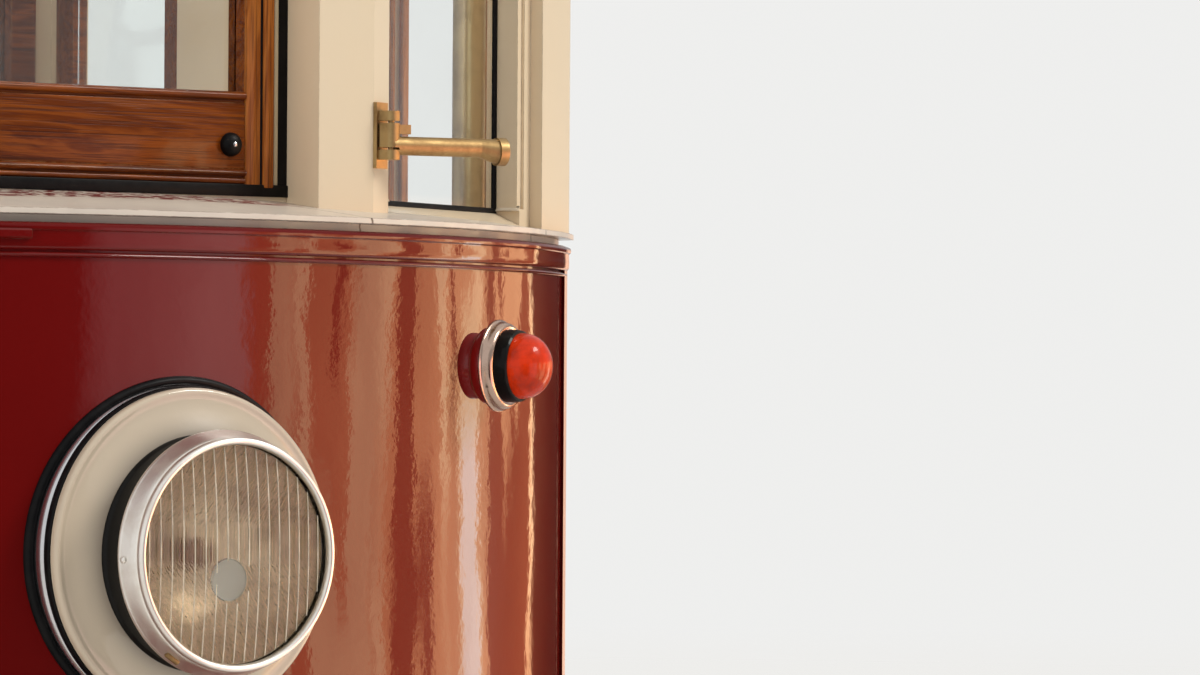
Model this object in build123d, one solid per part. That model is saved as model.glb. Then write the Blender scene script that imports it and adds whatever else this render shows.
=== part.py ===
from build123d import *
from math import asin, atan2, cos, degrees, hypot, pi, radians, sin, sqrt, tan
import os

# Double-ended two-axle motor tram, millimetres. X is across the car, Y along it, Z up.
# The front end faces -Y. The origin is at the middle of the car, at the wheel flanges' lowest point.

# Running gear
rail_gauge = 1435
tread_diameter = 780
flange_height = 22
flange_width = 32
tyre_width = 115
tyre_thickness = 55
wheel_web = 24
hub_radius = 95
hub_width = 150
wheelbase = 3000
axle_radius = 55
journal_radius = 40
running_fit = 0.3

# Truck
frame_plate_x = 900
frame_plate = 25
frame_depth = 160
frame_rise = 128
frame_end_overhang = 620
horn_drop = 112
horn_foot = 40
horn_taper = 90
horn_width = 55
axle_box_width = 220
axle_box_height = 240
axle_box_outer_x = 1010
axle_box_inner_x = 865
spring_leaves = 7
spring_leaf = 10
spring_half_length = 420
spring_short_half = 150
spring_radius = 1800
spring_width = 66
transom_y = 790
transom = 90
transom_lift = 20
end_beam = 60
end_beam_height = 80
end_beam_lift = 40
motor_width = 640
motor_height = 440
motor_bearing_radius = 90
motor_bearing_width = 100
motor_drop = 190

# Brake gear: a shoe outside each wheel, hung from the truck's end beams
shoe_gap = 6
shoe_thickness = 45
shoe_half_angle = 22
shoe_face_inset = 6
shoe_outer_inset = 2.5
brake_rod_radius = 22
brake_rod_back = 92
brake_hanger = 18
brake_lug = 24
brake_lug_height = 60
brake_lug_reach = 50

# Body
saloon_length = 5600
body_width = 2150
wall = 45
window_count = 5
window_post = 130
side_panel_wall = 35
rocker_inset = 45
rocker_height = 340
sole_bar_x = 870
sole_bar_width = 80
wheel_clearance = 36
floor_board = 40
riser_board = 15
side_bottom = 790

# Heights shared by the sides and the ends
waist = 1586
sill_back = 1623
window_bottom = 1633
window_top = 2490
cantrail = 2700

# Ends: the dash is an arc in plan between two corners, the sides taper to the saloon
platform_length = 1880
dash_radius = 1180
dash_half_width = 900
platform_side_step = 55
dash_wall = 30
dash_top = 1576
corner_post_depth = 83
strip_height = 32
strip_proud = 4
border_width = 30
sill_overhang = 12
sill_lip = 7
sill_batten_inset = 8
end_wall_back = 145
end_wall_fold_x = 385
end_wall_corner_x = 895
end_wall_corner_back = 400
end_wall = 115
centre_window_half = 300
sash_back = 216
corner_window_start = 41
corner_window_width = 376.5
corner_window_bottom = 1619
corner_window_sill = 1600
corner_window_corner_radius = 8
corner_groove_width = 12
corner_groove_depth = 4
corner_post_start = 448
corner_post_width = 83.5
corner_post_proud = 18
glass = 5
glass_recess = 39
sash_depth = 38
sash_stile = 66
sash_bottom_rail = 122
sash_top_rail = 66
saloon_sash_depth = 28
saloon_sash_rail = 55
saloon_sash_inset = 6
saloon_transom_z = 2200
saloon_transom = 40
quarter_sash_inset = 8

# Platform floor and entrances
platform_floor_top = 760
entrance_width = 745
entrance_top = 2476
quarter_post = 182
quarter_end_post = 55
leaf = 32
leaf_recess = 12
leaf_edge = 46
leaf_gap = 4
leaf_foot_gap = 16
leaf_lock_rail = 1250
leaf_bottom_rail = 120
leaf_panel = 16
track_height = 30
track_width = 30
hinge_proud = 6
knuckle_radius = 6
knuckle_length = 40
hinge_pin_radius = 3
hinge_strap = 40
hinge_plate = 3.5
pivot_radius = 8
guide_radius = 6
post_clearance = 28
pivot_clearance = 25
leaf_heel = 10
leaf_nose = 12
fold_limit = 84
threshold = 10
step_top = 410
step_board = 30
step_depth = 260
hanger = 10

# Bulkheads and their sliding doors
bulkhead = 40
bulkhead_opening = 640
bulkhead_opening_top = 2420
bulkhead_window_inset = 110
bulkhead_window_bottom = 1640
sliding_door = 30
sliding_door_gap = 6
sliding_door_lap = 35
sliding_sill = 8

# Roof
roof_rise = 330
roof_skin = 30
roof_eave = 35
hood_length = 520
platform_ceiling = 15

# Mirror arm: two lugs and a knuckle on the stile, a round arm with a flared end
mirror_z = 1703
mirror_plate_width = 30
mirror_plate_height = 84
mirror_plate = 5
mirror_pivot_x = 14
mirror_pivot_y = -18
mirror_lug_radius = 11
mirror_lug = 12.6
mirror_knuckle = 31
mirror_lug_gap = 3
mirror_pin_radius = 4
mirror_arm_length = 150
mirror_arm_radius = 12
mirror_arm_drop = 13
mirror_cap_radius = 18
mirror_cap = 11
mirror_cap_drop = 4
mirror_flare = 26
mirror_arm_angle = -10

# Headlight: a flat rubber seat on the dash, a domed plate, a drum and a chrome bezel
headlight_z = 1180
gasket_radius = 210
gasket_front = -8
plate_radius = 200
plate_rim_front = -20
plate_dome = 16
plate_skin = 8
drum_radius = 128
bezel_radius = 148
bezel_front_radius = 138
bezel_proud = 104
bezel_depth = 46
bezel_lip = 18
lens_dome = 10
lens_edge = 6

# Marker lamp on the dash, square to its curve
marker_x = 530
marker_z = 1411
marker_cup_radius = 42
marker_cup_length = 34
marker_ring_radius = 58
marker_ring_length = 16
marker_lens_radius = 41
marker_lens_length = 52
marker_lens_dome = 32

# Bumper, coupler and guards
bumper_height = 130
bumper_proud = 45
bumper_depth = 95
coupler_plate_width = 440
coupler_plate_height = 118
coupler_plate = 12
coupler_reach = 190
coupler_mouth_width = 230
coupler_mouth_height = 110
coupling_pin_radius = 16
bearer_x = 480
bearer_width = 70
bearer_height = 100
guard_top = 150
guard_front = 1250
guard_length = 850
guard_half_width = 780
guard_slats = 7
guard_slat_width = 60
guard_slat = 24

# Current collector
collector_axis_z = 3215
collector_half_width = 470
collector_tube = 19
collector_length = 2000
collector_tie = 900
collector_brace = 12
collector_bar_half = 560
collector_bar = 26
collector_rest_angle = 60
collector_plank_x = 390
collector_plank_width = 90
collector_plank_length = 2600
collector_plank_top = 3110
collector_rest_half = 560
collector_low_angle = 4
rest_gap = 6

# Inside
bench_depth = 430
bench_height = 450
bench_board = 28
bench_back = 620
bench_inset = 120
bench_slats = 6
bench_slat_groove = 6
bench_groove_depth = 6
controller_x = -330
controller_back = 560
controller_radius = 150
controller_height = 900
brake_column_x = 340
brake_column_back = 520
brake_column_height = 960
brake_wheel_radius = 190
brake_wheel_rim = 13
pole_radius = 17
pole_offset = 55
outer_pole_along = 60
inner_pole_radius = 22.5
inner_pole_along = 10
inner_pole_inwards = 100
pole_foot = 1000
pole_head = 2300
pole_bracket_radius = 11
pole_bracket_inset = 60

# Places that follow from the sizes above
axle_z = tread_diameter / 2 + flange_height
tread_radius = tread_diameter / 2
flange_radius = tread_radius + flange_height
frame_bottom = axle_z + frame_rise
frame_top = frame_bottom + frame_depth
horn_bottom = axle_z - horn_drop
saloon_floor_top = axle_z + flange_radius + wheel_clearance + floor_board
wheel_back_x = rail_gauge / 2 - flange_width - 5
wheel_face_x = wheel_back_x + tyre_width
axle_y = wheelbase / 2
saloon_half = saloon_length / 2
body_half = body_width / 2
nose_y = -(saloon_half + platform_length)
platform_rear_half_width = body_half - platform_side_step
arc_centre_y = nose_y + dash_radius
corner_back = dash_radius - sqrt(dash_radius**2 - dash_half_width**2)
taper = atan2(platform_rear_half_width - dash_half_width, platform_length - corner_back)
post_back = corner_back + corner_post_depth
bearer_top = platform_floor_top - floor_board
floor_underside = saloon_floor_top - floor_board
dash_bottom = bearer_top
leaf_pitch = (entrance_width - post_clearance - pivot_clearance) / 2
leaf_centre = leaf_recess + leaf / 2
knuckle_y = leaf_recess - hinge_proud
door_foot = platform_floor_top + leaf_foot_gap
door_head = entrance_top - track_height - hinge_proud
side_run = (platform_length - post_back) / cos(taper)
facet_angle = atan2(end_wall_corner_back - end_wall_back, end_wall_corner_x - end_wall_fold_x)
facet_length = hypot(end_wall_corner_x - end_wall_fold_x, end_wall_corner_back - end_wall_back)
corner_window_end = corner_window_start + corner_window_width
window_width = (saloon_length - (window_count + 1) * window_post) / window_count
roof_crown = cantrail + roof_rise


def block(x0, x1, y0, y1, z0, z1):
    """Box between two corners."""
    centre = Pos((x0 + x1) / 2, (y0 + y1) / 2, (z0 + z1) / 2)
    return centre * Box(abs(x1 - x0), abs(y1 - y0), abs(z1 - z0))


def rod_x(x0, x1, y, z, radius):
    """Round bar along X."""
    return Pos((x0 + x1) / 2, y, z) * Rot(0, 90, 0) * Cylinder(radius, abs(x1 - x0))


def rod_y(x, y0, y1, z, radius):
    """Round bar along Y."""
    return Pos(x, (y0 + y1) / 2, z) * Rot(90, 0, 0) * Cylinder(radius, abs(y1 - y0))


def rod_z(x, y, z0, z1, radius):
    """Upright round bar."""
    return Pos(x, y, (z0 + z1) / 2) * Cylinder(radius, abs(z1 - z0))


def bar(start, end, radius):
    """Round bar between two points."""
    a, b = Vector(*start), Vector(*end)
    run = b - a
    return Plane(a, z_dir=run.normalized()) * Cylinder(
        radius, run.length, align=(Align.CENTER, Align.CENTER, Align.MIN))


def prism(outline, z0, z1):
    """Upright prism over a closed plan outline of (x, y) points."""
    return Pos(0, 0, z0) * extrude(make_face(Polyline(*outline, close=True)), z1 - z0)


def side_prism(outline, x0, x1):
    """Prism along X over a closed (y, z) outline."""
    face = make_face(Polyline(*[(0, y, z) for y, z in outline], close=True))
    return Pos(x0, 0, 0) * extrude(face, x1 - x0, dir=(1, 0, 0))


def mirrored(shape):
    """Shape and its mirror image across the car's middle plane, as separate solids."""
    return [shape, mirror(shape, about=Plane.YZ)]


def both_ends(shapes):
    """Shapes of the front end and the same turned half round for the rear end."""
    return shapes + [Rot(0, 0, 180) * shape for shape in shapes]


def solids(shapes):
    """All the solids of a list of shapes."""
    found = []
    for shape in shapes:
        found.extend(shape.solids())
    return found


def one(shapes):
    """Shapes joined into one piece."""
    joined = shapes[0]
    for shape in shapes[1:]:
        joined = joined + shape
    return joined


# Plan of an end: every outline of the dash, floor, hood and bumper comes from here
def end_corner(inset):
    """Corner (x, y) of the end's plan outline, moved inwards by inset."""
    slope = tan(taper)
    base = dash_half_width - corner_back * slope - inset / cos(taper)
    a = 1 + slope**2
    b = 2 * (base * slope - dash_radius)
    c = base**2 + dash_radius**2 - (dash_radius - inset)**2
    back = (-b - sqrt(b * b - 4 * a * c)) / (2 * a)
    return base + slope * back, nose_y + back


def side_x(back, inset=0):
    """Half-width of the tapered platform side at a distance behind the nose."""
    return dash_half_width + (back - corner_back) * tan(taper) - inset / cos(taper)


def end_plan(inset, back, z0, z1):
    """Solid platform plan from the nose arc to a distance behind the nose."""
    x, y = end_corner(inset)
    rear_x = side_x(back, inset)
    rear_y = nose_y + back
    edges = [
        ThreePointArc((-x, y), (0, nose_y + inset), (x, y)),
        Line((x, y), (rear_x, rear_y)),
        Line((rear_x, rear_y), (-rear_x, rear_y)),
        Line((-rear_x, rear_y), (-x, y)),
    ]
    return Pos(0, 0, z0) * extrude(make_face(edges), z1 - z0)


# Place of one entrance: x runs backwards along the tapered side from the corner post,
# y inwards from the side's outer face
entrance = Pos(side_x(post_back), nose_y + post_back, 0) * Rot(0, 0, 90 - degrees(taper))

# Place of the right-hand corner window's facet: x runs outwards along it, y inwards
facet = Pos(end_wall_fold_x, nose_y + end_wall_back, 0) * Rot(0, 0, degrees(facet_angle))


def dash():
    """Curved sheet dash with its raised top strip, foot strip and corner borders."""
    skin = end_plan(0, post_back, dash_bottom, dash_top) - end_plan(
        dash_wall, post_back + 1, dash_bottom - 1, dash_top + 1)
    raised = end_plan(-strip_proud, post_back, dash_bottom, dash_top) - end_plan(
        0, post_back + 1, dash_bottom - 1, dash_top + 1)
    corner_x, corner_y = end_corner(0)
    field_half = corner_x - border_width
    field = block(-field_half, field_half, nose_y - 50, corner_y + 50,
                  dash_bottom + strip_height, dash_top - strip_height)
    return skin + (raised - field)


def end_wall_plan(inset, z0, z1):
    """Faceted plan of the end's window wall, moved inwards by inset and closed at the back."""
    shift = inset * tan(facet_angle / 2)
    fold_x = end_wall_fold_x - shift
    fold_y = nose_y + end_wall_back + inset
    turn = pi / 2 - taper - facet_angle
    corner_shift = inset * tan(turn / 2)
    along = (cos(facet_angle), sin(facet_angle))
    inwards = (-sin(facet_angle), cos(facet_angle))
    corner_x = end_wall_corner_x + inwards[0] * inset - along[0] * corner_shift
    corner_y = nose_y + end_wall_corner_back + inwards[1] * inset - along[1] * corner_shift
    rear_y = nose_y + post_back + (1 if inset else 0)
    rear_x = corner_x + (rear_y - corner_y) * tan(taper)
    right = [(fold_x, fold_y), (corner_x, corner_y), (rear_x, rear_y)]
    left = [(-x, y) for x, y in reversed(right)]
    return prism(right + left, z0, z1)


def end_wall_body():
    """Three-window wall above the dash, with the centre opening notched for the sill."""
    body = end_wall_plan(0, waist, cantrail) - end_wall_plan(wall, waist - 1, cantrail + 1)
    front_y = nose_y + end_wall_back
    body += block(-end_wall_fold_x + 20, end_wall_fold_x - 20, front_y, front_y + end_wall,
                  waist, cantrail)
    body -= block(-centre_window_half, centre_window_half, front_y - 1, front_y + end_wall + 1,
                  window_bottom, window_top)
    body -= block(-centre_window_half, centre_window_half, front_y - 1, nose_y + sash_back,
                  waist - 1, window_top)
    post_end = corner_post_start + corner_post_width
    post = prism([(corner_post_start, 1), (corner_post_start, -corner_post_proud),
                  (post_end, -corner_post_proud), (facet_length, 0), (facet_length - 2, 1)],
                 waist, cantrail)
    for piece in mirrored(facet * post):
        body += piece
    opening = Pos(corner_window_start + corner_window_width / 2, wall / 2, 0) * (
        Plane.XZ * extrude(corner_window_outline(), wall, both=True))
    foot = side_prism([(-1, corner_window_sill), (-1, corner_window_bottom + 1),
                       (glass_recess, corner_window_bottom + 1), (glass_recess, corner_window_bottom)],
                      corner_window_start, corner_window_end)
    groove = block(corner_window_end, corner_window_end + corner_groove_width, -1,
                   corner_groove_depth, sill_back, window_top)
    for cut in (opening, foot, groove):
        for piece in mirrored(facet * cut):
            body -= piece
    return body


def corner_window_outline():
    """Outline of a corner window's opening and glass, at its height."""
    height = window_top - corner_window_bottom
    return Pos(0, (corner_window_bottom + window_top) / 2) * RectangleRounded(
        corner_window_width, height, corner_window_corner_radius)


def end_sill(wall_body):
    """Sloping weather sill on its batten, between the dash's top edge and the window wall."""
    outer = dash_radius + sill_overhang
    inner = dash_radius - sash_back
    lip = waist + sill_lip
    section = make_face(Polyline(
        (outer, 0, waist), (outer, 0, lip), (inner, 0, sill_back), (inner, 0, waist), close=True))
    ring = Pos(0, arc_centre_y, 0) * revolve(section, Axis.Z)
    region = end_plan(-sill_overhang, post_back, waist - 1, sill_back + 1)
    sill = (ring & region) - wall_body
    behind = end_wall_plan(wall, waist - 2, cantrail)
    centre = block(-centre_window_half, centre_window_half, nose_y - 50, nose_y + sash_back,
                   waist - 2, sill_back + 2)
    batten = end_plan(sill_batten_inset, post_back, dash_top, waist) - end_plan(
        dash_wall, post_back + 1, dash_top - 1, waist + 1)
    return sill - (behind - centre) + batten


def sash(width, height, depth, stile, bottom_rail, top_rail):
    """Wooden sash, lower left corner at the origin, x along, y its depth, z up."""
    frame = block(0, width, 0, depth, 0, height)
    return frame - block(stile, width - stile, -1, depth + 1, bottom_rail, height - top_rail)


def pane(width, height, x, y, z):
    """Glass pane with its lower corner at a point."""
    return block(x, x + width, y, y + glass, z, z + height)


def centre_sash():
    """Varnished sash of the centre end window."""
    piece = sash(2 * centre_window_half, window_top - window_bottom, sash_depth,
                 sash_stile, sash_bottom_rail, sash_top_rail)
    return Pos(-centre_window_half, nose_y + sash_back, window_bottom) * piece


def centre_pane():
    """Glass of the centre end window."""
    return pane(2 * (centre_window_half - sash_stile),
                window_top - window_bottom - sash_bottom_rail - sash_top_rail,
                -centre_window_half + sash_stile, nose_y + sash_back + sash_depth / 2,
                window_bottom + sash_bottom_rail)


def corner_pane():
    """Glass of the right-hand corner window, in the facet's opening."""
    piece = extrude(corner_window_outline(), glass)
    return facet * (Pos(corner_window_start + corner_window_width / 2, glass_recess, 0)
                    * Rot(90, 0, 0) * Pos(0, 0, -glass) * piece)


def side_wall_saloon():
    """Right-hand window wall of the saloon with its openings and waist moulding."""
    body = block(body_half - wall, body_half, -saloon_half, saloon_half, waist, cantrail)
    body += block(body_half - 1, body_half + 12, -saloon_half, saloon_half, waist, waist + 28)
    for start in window_starts():
        body -= block(body_half - wall - 1, body_half + 20, start, start + window_width,
                      window_bottom, window_top)
    return body


def window_starts():
    """Y of the near edge of each saloon window."""
    return [-saloon_half + window_post + i * (window_width + window_post)
            for i in range(window_count)]


def saloon_sash(start):
    """Sash of one right-hand saloon window."""
    piece = sash(window_width, window_top - window_bottom, saloon_sash_depth,
                 saloon_sash_rail, saloon_sash_rail, saloon_sash_rail)
    foot = saloon_transom_z - window_bottom
    piece += block(saloon_sash_rail, window_width - saloon_sash_rail, 0, saloon_sash_depth,
                   foot, foot + saloon_transom)
    inner_x = body_half - wall + saloon_sash_inset
    return Pos(inner_x + saloon_sash_depth, start, window_bottom) * Rot(0, 0, 90) * piece


def saloon_pair(start):
    """Glass of one right-hand saloon window, below and above the transom rail."""
    x = body_half - wall + saloon_sash_inset + saloon_sash_depth / 2
    rail = saloon_sash_rail
    heights = [(window_bottom + rail, saloon_transom_z),
               (saloon_transom_z + saloon_transom, window_top - rail)]
    return [block(x, x + glass, start + rail, start + window_width - rail, low, high)
            for low, high in heights]


def side_panel():
    """Right-hand lower side, upright above and curved in to the rocker below."""
    top = waist
    bend = side_bottom + rocker_height
    sag = rocker_inset * 0.25
    outer = [
        Line((body_half, top), (body_half, bend)),
        ThreePointArc((body_half, bend), (body_half - sag, (bend + side_bottom) / 2),
                      (body_half - rocker_inset, side_bottom)),
    ]
    thick = side_panel_wall
    inner = [
        Line((body_half - rocker_inset, side_bottom), (body_half - rocker_inset - thick, side_bottom)),
        ThreePointArc((body_half - rocker_inset - thick, side_bottom),
                      (body_half - sag - thick, (bend + side_bottom) / 2), (body_half - thick, bend)),
        Line((body_half - thick, bend), (body_half - thick, top)),
        Line((body_half - thick, top), (body_half, top)),
    ]
    section = make_face(outer + inner)
    return Pos(0, -saloon_half, 0) * (Plane.XZ * extrude(section, -saloon_length))


def saloon_floor():
    """Saloon floor boards between the side panels."""
    slab = block(-body_half, body_half, -saloon_half, saloon_half, floor_underside, saloon_floor_top)
    for side in mirrored(side_panel()):
        slab -= side
    return slab.solids().sort_by(Axis.X)[len(slab.solids()) // 2]


def platform_floor():
    """Platform floor inside the dash, flush with the tapered sides."""
    return end_plan(0, platform_length, bearer_top, platform_floor_top) - dash()


def riser():
    """Board that closes the step between platform floor and saloon floor."""
    x = platform_rear_half_width - wall - riser_board
    y = -saloon_half
    return block(-x, x, y - riser_board, y, platform_floor_top, saloon_floor_top)


def platform_side():
    """Right-hand fixed side behind the entrance, with its quarter window and door header."""
    start = entrance_width
    end = side_run
    body = block(start, end, 0, wall, platform_floor_top, cantrail)
    body += block(0, start, 0, wall, entrance_top, cantrail)
    body -= block(start + quarter_post, end - quarter_end_post, -1, wall + 1,
                  window_bottom, entrance_top)
    beyond = block(0, body_width, -saloon_half, 0, 0, roof_crown)
    return entrance * body - beyond


def quarter_sash():
    """Sash of the quarter window beside the entrance."""
    width = side_run - quarter_end_post - entrance_width - quarter_post
    piece = sash(width, entrance_top - window_bottom, saloon_sash_depth,
                 saloon_sash_rail, saloon_sash_rail, saloon_sash_rail)
    return entrance * Pos(entrance_width + quarter_post, quarter_sash_inset, window_bottom) * piece


def quarter_pane():
    """Glass of the quarter window beside the entrance."""
    width = side_run - quarter_end_post - entrance_width - quarter_post - 2 * saloon_sash_rail
    height = entrance_top - window_bottom - 2 * saloon_sash_rail
    return entrance * pane(width, height, entrance_width + quarter_post + saloon_sash_rail,
                           quarter_sash_inset + saloon_sash_depth / 2,
                           window_bottom + saloon_sash_rail)


# Folding entrance door: leaf b nearest the corner post is guided at its nose,
# leaf a turns on pivots beside the fixed side, and they meet at knuckles on the street face
nose_x = post_clearance
joint_x = post_clearance + leaf_pitch
pivot_x = post_clearance + 2 * leaf_pitch
knuckle_heights = [door_foot + 150, (door_foot + door_head) / 2, door_head - 190]


def door_leaf(x0, x1):
    """Framed leaf with an upper light and a recessed lower panel."""
    y0 = leaf_recess
    y1 = leaf_recess + leaf
    body = block(x0, x1, y0, y1, door_foot, door_head)
    body -= block(x0 + leaf_edge, x1 - leaf_edge, y0 - 1, y1 + 1,
                  leaf_lock_rail + leaf_edge, door_head - leaf_edge)
    field = (x0 + leaf_edge, x1 - leaf_edge)
    recess = (leaf - leaf_panel) / 2
    for low, high in ((y0 - 1, y0 + recess), (y1 - recess, y1 + 1)):
        body -= block(*field, low, high, door_foot + leaf_bottom_rail, leaf_lock_rail - leaf_edge)
    return body


def knuckle(z0, z1, towards):
    """Hinge barrel and strap on the street face, the strap on one side of the joint."""
    barrel = rod_z(joint_x, knuckle_y, z0, z1, knuckle_radius)
    edge = joint_x + towards * hinge_strap
    return barrel + block(joint_x, edge, leaf_recess - hinge_plate, leaf_recess, z0, z1)


def hinged_leaf():
    """Leaf a, on its pivots, with its halves of the hinges and their pins."""
    body = door_leaf(joint_x + leaf_gap, pivot_x + leaf_heel)
    for z in knuckle_heights:
        body += knuckle(z - knuckle_length, z - running_fit, 1)
        body += rod_z(joint_x, knuckle_y, z - knuckle_length, z + knuckle_length, hinge_pin_radius)
    body += rod_z(pivot_x, leaf_centre, platform_floor_top + running_fit, door_foot + 5, pivot_radius)
    body += rod_z(pivot_x, leaf_centre, door_head - 5, entrance_top - 8, pivot_radius)
    return body


def guided_leaf():
    """Leaf b, with its halves of the hinges and the guide pin at its nose."""
    body = door_leaf(nose_x - leaf_nose, joint_x - leaf_gap)
    for z in knuckle_heights:
        body += knuckle(z, z + knuckle_length, -1)
        body -= rod_z(joint_x, knuckle_y, z - 1, z + knuckle_length + 1,
                      hinge_pin_radius + running_fit)
    body += rod_z(nose_x, leaf_centre, door_head - 5, entrance_top - 12, guide_radius)
    return body


def door_tracks():
    """Head track with the guide's groove, and the threshold, both with the pivot's socket."""
    y0 = leaf_centre - track_width / 2
    y1 = leaf_centre + track_width / 2
    head = block(0, entrance_width, y0, y1, entrance_top - track_height, entrance_top)
    groove = guide_radius + 1
    fold = radians(fold_limit)
    folded = 2 * (leaf_pitch * cos(fold) + (leaf_centre - knuckle_y) * sin(fold))
    head -= block(nose_x - groove - 4, pivot_x - folded + groove + 2, leaf_centre - groove,
                  leaf_centre + groove, entrance_top - track_height - 1, entrance_top - 10)
    head -= rod_z(pivot_x, leaf_centre, entrance_top - track_height - 1, entrance_top - 7,
                  pivot_radius + running_fit)
    sill = block(0, entrance_width, y0, y1, platform_floor_top, platform_floor_top + threshold)
    sill -= rod_z(pivot_x, leaf_centre, platform_floor_top - 1, platform_floor_top + threshold + 1,
                  pivot_radius + running_fit)
    return [entrance * head, entrance * sill]


def bulkhead_wall():
    """Saloon end wall with its doorway, two windows and the sliding door's sill."""
    half = body_half - side_panel_wall
    upper_half = body_half - wall
    y0 = -saloon_half
    y1 = y0 + bulkhead
    body = block(-upper_half, upper_half, y0, y1, saloon_floor_top, roof_crown)
    body &= Pos(0, 0, -0.5) * roof_filled(roof_skin, saloon_floor_top - 1)
    opening = bulkhead_opening / 2
    body -= block(-opening, opening, y0 - 1, y1 + 1, saloon_floor_top - 1, bulkhead_opening_top)
    light = (opening + bulkhead_window_inset, half - bulkhead_window_inset)
    for side in (1, -1):
        body -= block(side * light[0], side * light[1], y0 - 1, y1 + 1,
                      bulkhead_window_bottom, bulkhead_opening_top)
    sill_end = opening + bulkhead_opening + sliding_door_lap
    body += block(-opening - sliding_door_lap, sill_end, y1, y1 + sliding_door_gap + sliding_door,
                  saloon_floor_top, saloon_floor_top + sliding_sill)
    for panel in mirrored(side_panel()):
        body -= panel
    return body


def bulkhead_panes():
    """Glass of the two bulkhead windows."""
    low = bulkhead_opening / 2 + bulkhead_window_inset
    high = body_half - side_panel_wall - bulkhead_window_inset
    y = -saloon_half + bulkhead / 2
    return [block(side * low, side * high, y, y + glass, bulkhead_window_bottom, bulkhead_opening_top)
            for side in (1, -1)]


def bulkhead_door():
    """Sliding door on the saloon side of the bulkhead, hung before its doorway."""
    half = bulkhead_opening / 2 + sliding_door_lap
    y0 = -saloon_half + bulkhead + sliding_door_gap
    y1 = y0 + sliding_door
    foot = saloon_floor_top + sliding_sill + running_fit
    head = bulkhead_opening_top + sliding_door_lap
    body = block(-half, half, y0, y1, foot, head)
    body -= block(-half + 80, half - 80, y0 - 1, y1 + 1, bulkhead_window_bottom, head - 100)
    for low, high in ((y0 - 1, y0 + 7), (y1 - 7, y1 + 1)):
        body -= block(-half + 80, half - 80, low, high, foot + 180, bulkhead_window_bottom - 90)
    return body


# Roof: an arch along the car, cut by a dome over each nose and by the tapered plan
def arch(inset, foot):
    """Filled roof arch along the whole car, moved inwards by inset."""
    half = body_half + roof_eave - inset
    rise = roof_rise - inset
    length = 2 * (-nose_y + 200)
    edges = [
        Line((-half, foot), (-half, cantrail)),
        ThreePointArc((-half, cantrail), (0, cantrail + rise), (half, cantrail)),
        Line((half, cantrail), (half, foot)),
        Line((half, foot), (-half, foot)),
    ]
    return Pos(0, length / 2, 0) * (Plane.XZ * extrude(make_face(edges), length))


def hood(inset, foot):
    """Filled dome over the front nose, with a deep block behind it."""
    rim = dash_radius + roof_eave - inset
    crown = cantrail + roof_rise - inset
    shoulder = rim - hood_length
    edges = [
        Line((0, 0, foot), (rim, 0, foot)),
        Line((rim, 0, foot), (rim, 0, cantrail)),
        ThreePointArc((rim, 0, cantrail),
                      (shoulder + hood_length * cos(pi / 4), 0,
                       cantrail + (crown - cantrail) * sin(pi / 4)),
                      (shoulder, 0, crown)),
        Line((shoulder, 0, crown), (0, 0, crown)),
        Line((0, 0, crown), (0, 0, foot)),
    ]
    dome = Pos(0, arc_centre_y, 0) * revolve(make_face(edges), Axis.Z)
    return dome + block(-rim - 100, rim + 100, arc_centre_y, 0, foot, crown)


def roof_filled(inset, z0):
    """Outer form of the roof as one filled piece."""
    foot = z0 - 10
    front = hood(inset, foot)
    whole = front + Rot(0, 0, 180) * front
    x, y = end_corner(inset - roof_eave)
    rear_x = side_x(platform_length, inset - roof_eave)
    saloon_x = body_half + roof_eave - inset
    quarter = [(saloon_x, 0), (saloon_x, -saloon_half), (rear_x, -saloon_half), (x, y),
               (x, nose_y - 300)]
    left = [(-px, py) for px, py in reversed(quarter)]
    outline = [*quarter, *left]
    plan = prism(outline, z0, roof_crown + 1)
    plan = plan + Rot(0, 0, 180) * plan
    return arch(inset, foot) & whole & plan


def roof():
    """Roof shell, open over the saloon and boarded under each hood."""
    outer = roof_filled(0, cantrail)
    inner = roof_filled(roof_skin, cantrail - 1)
    board = block(-body_width, body_width, nose_y - 200, -saloon_half, cantrail - 2,
                  cantrail + platform_ceiling)
    return outer - (inner - board - Rot(0, 0, 180) * board)


# Headlight, axis along Y at the middle of the dash
def turned(profile, x, y, z):
    """Body of revolution about a Y axis from (radius, y) points."""
    face = make_face(Polyline(*[(r, py, 0) for r, py in profile], close=True))
    return Pos(x, y, z) * revolve(face, Axis.Y)


def headlight_gasket():
    """Rubber seat that meets the curved dash and gives the lamp a flat face."""
    back = nose_y + 60
    ring = rod_y(0, nose_y + gasket_front, back, headlight_z, gasket_radius)
    ring -= rod_y(0, nose_y + gasket_front - 1, back + 1, headlight_z, gasket_radius - 50)
    return ring - end_plan(0, post_back, dash_bottom, dash_top)


def headlight_plate():
    """Domed plate with a rolled rim, closed on its seat."""
    seat = gasket_front
    rim = plate_rim_front
    profile = [(drum_radius - 20, seat), (plate_radius, seat), (plate_radius, rim),
               (plate_radius - plate_skin, rim),
               (plate_radius - 2 * plate_skin, rim + plate_skin),
               (drum_radius + 10, rim - plate_dome), (drum_radius - 20, rim - plate_dome)]
    return turned(profile, 0, nose_y, headlight_z)


def headlight_drum():
    """Drum between the plate and the bezel, closed at the back."""
    front = plate_rim_front - bezel_proud + bezel_depth
    back = plate_rim_front - plate_dome
    profile = [(0, back), (drum_radius, back), (drum_radius, front), (drum_radius - 8, front),
               (drum_radius - 8, back - 10), (0, back - 10)]
    return turned(profile, 0, nose_y, headlight_z)


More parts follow.
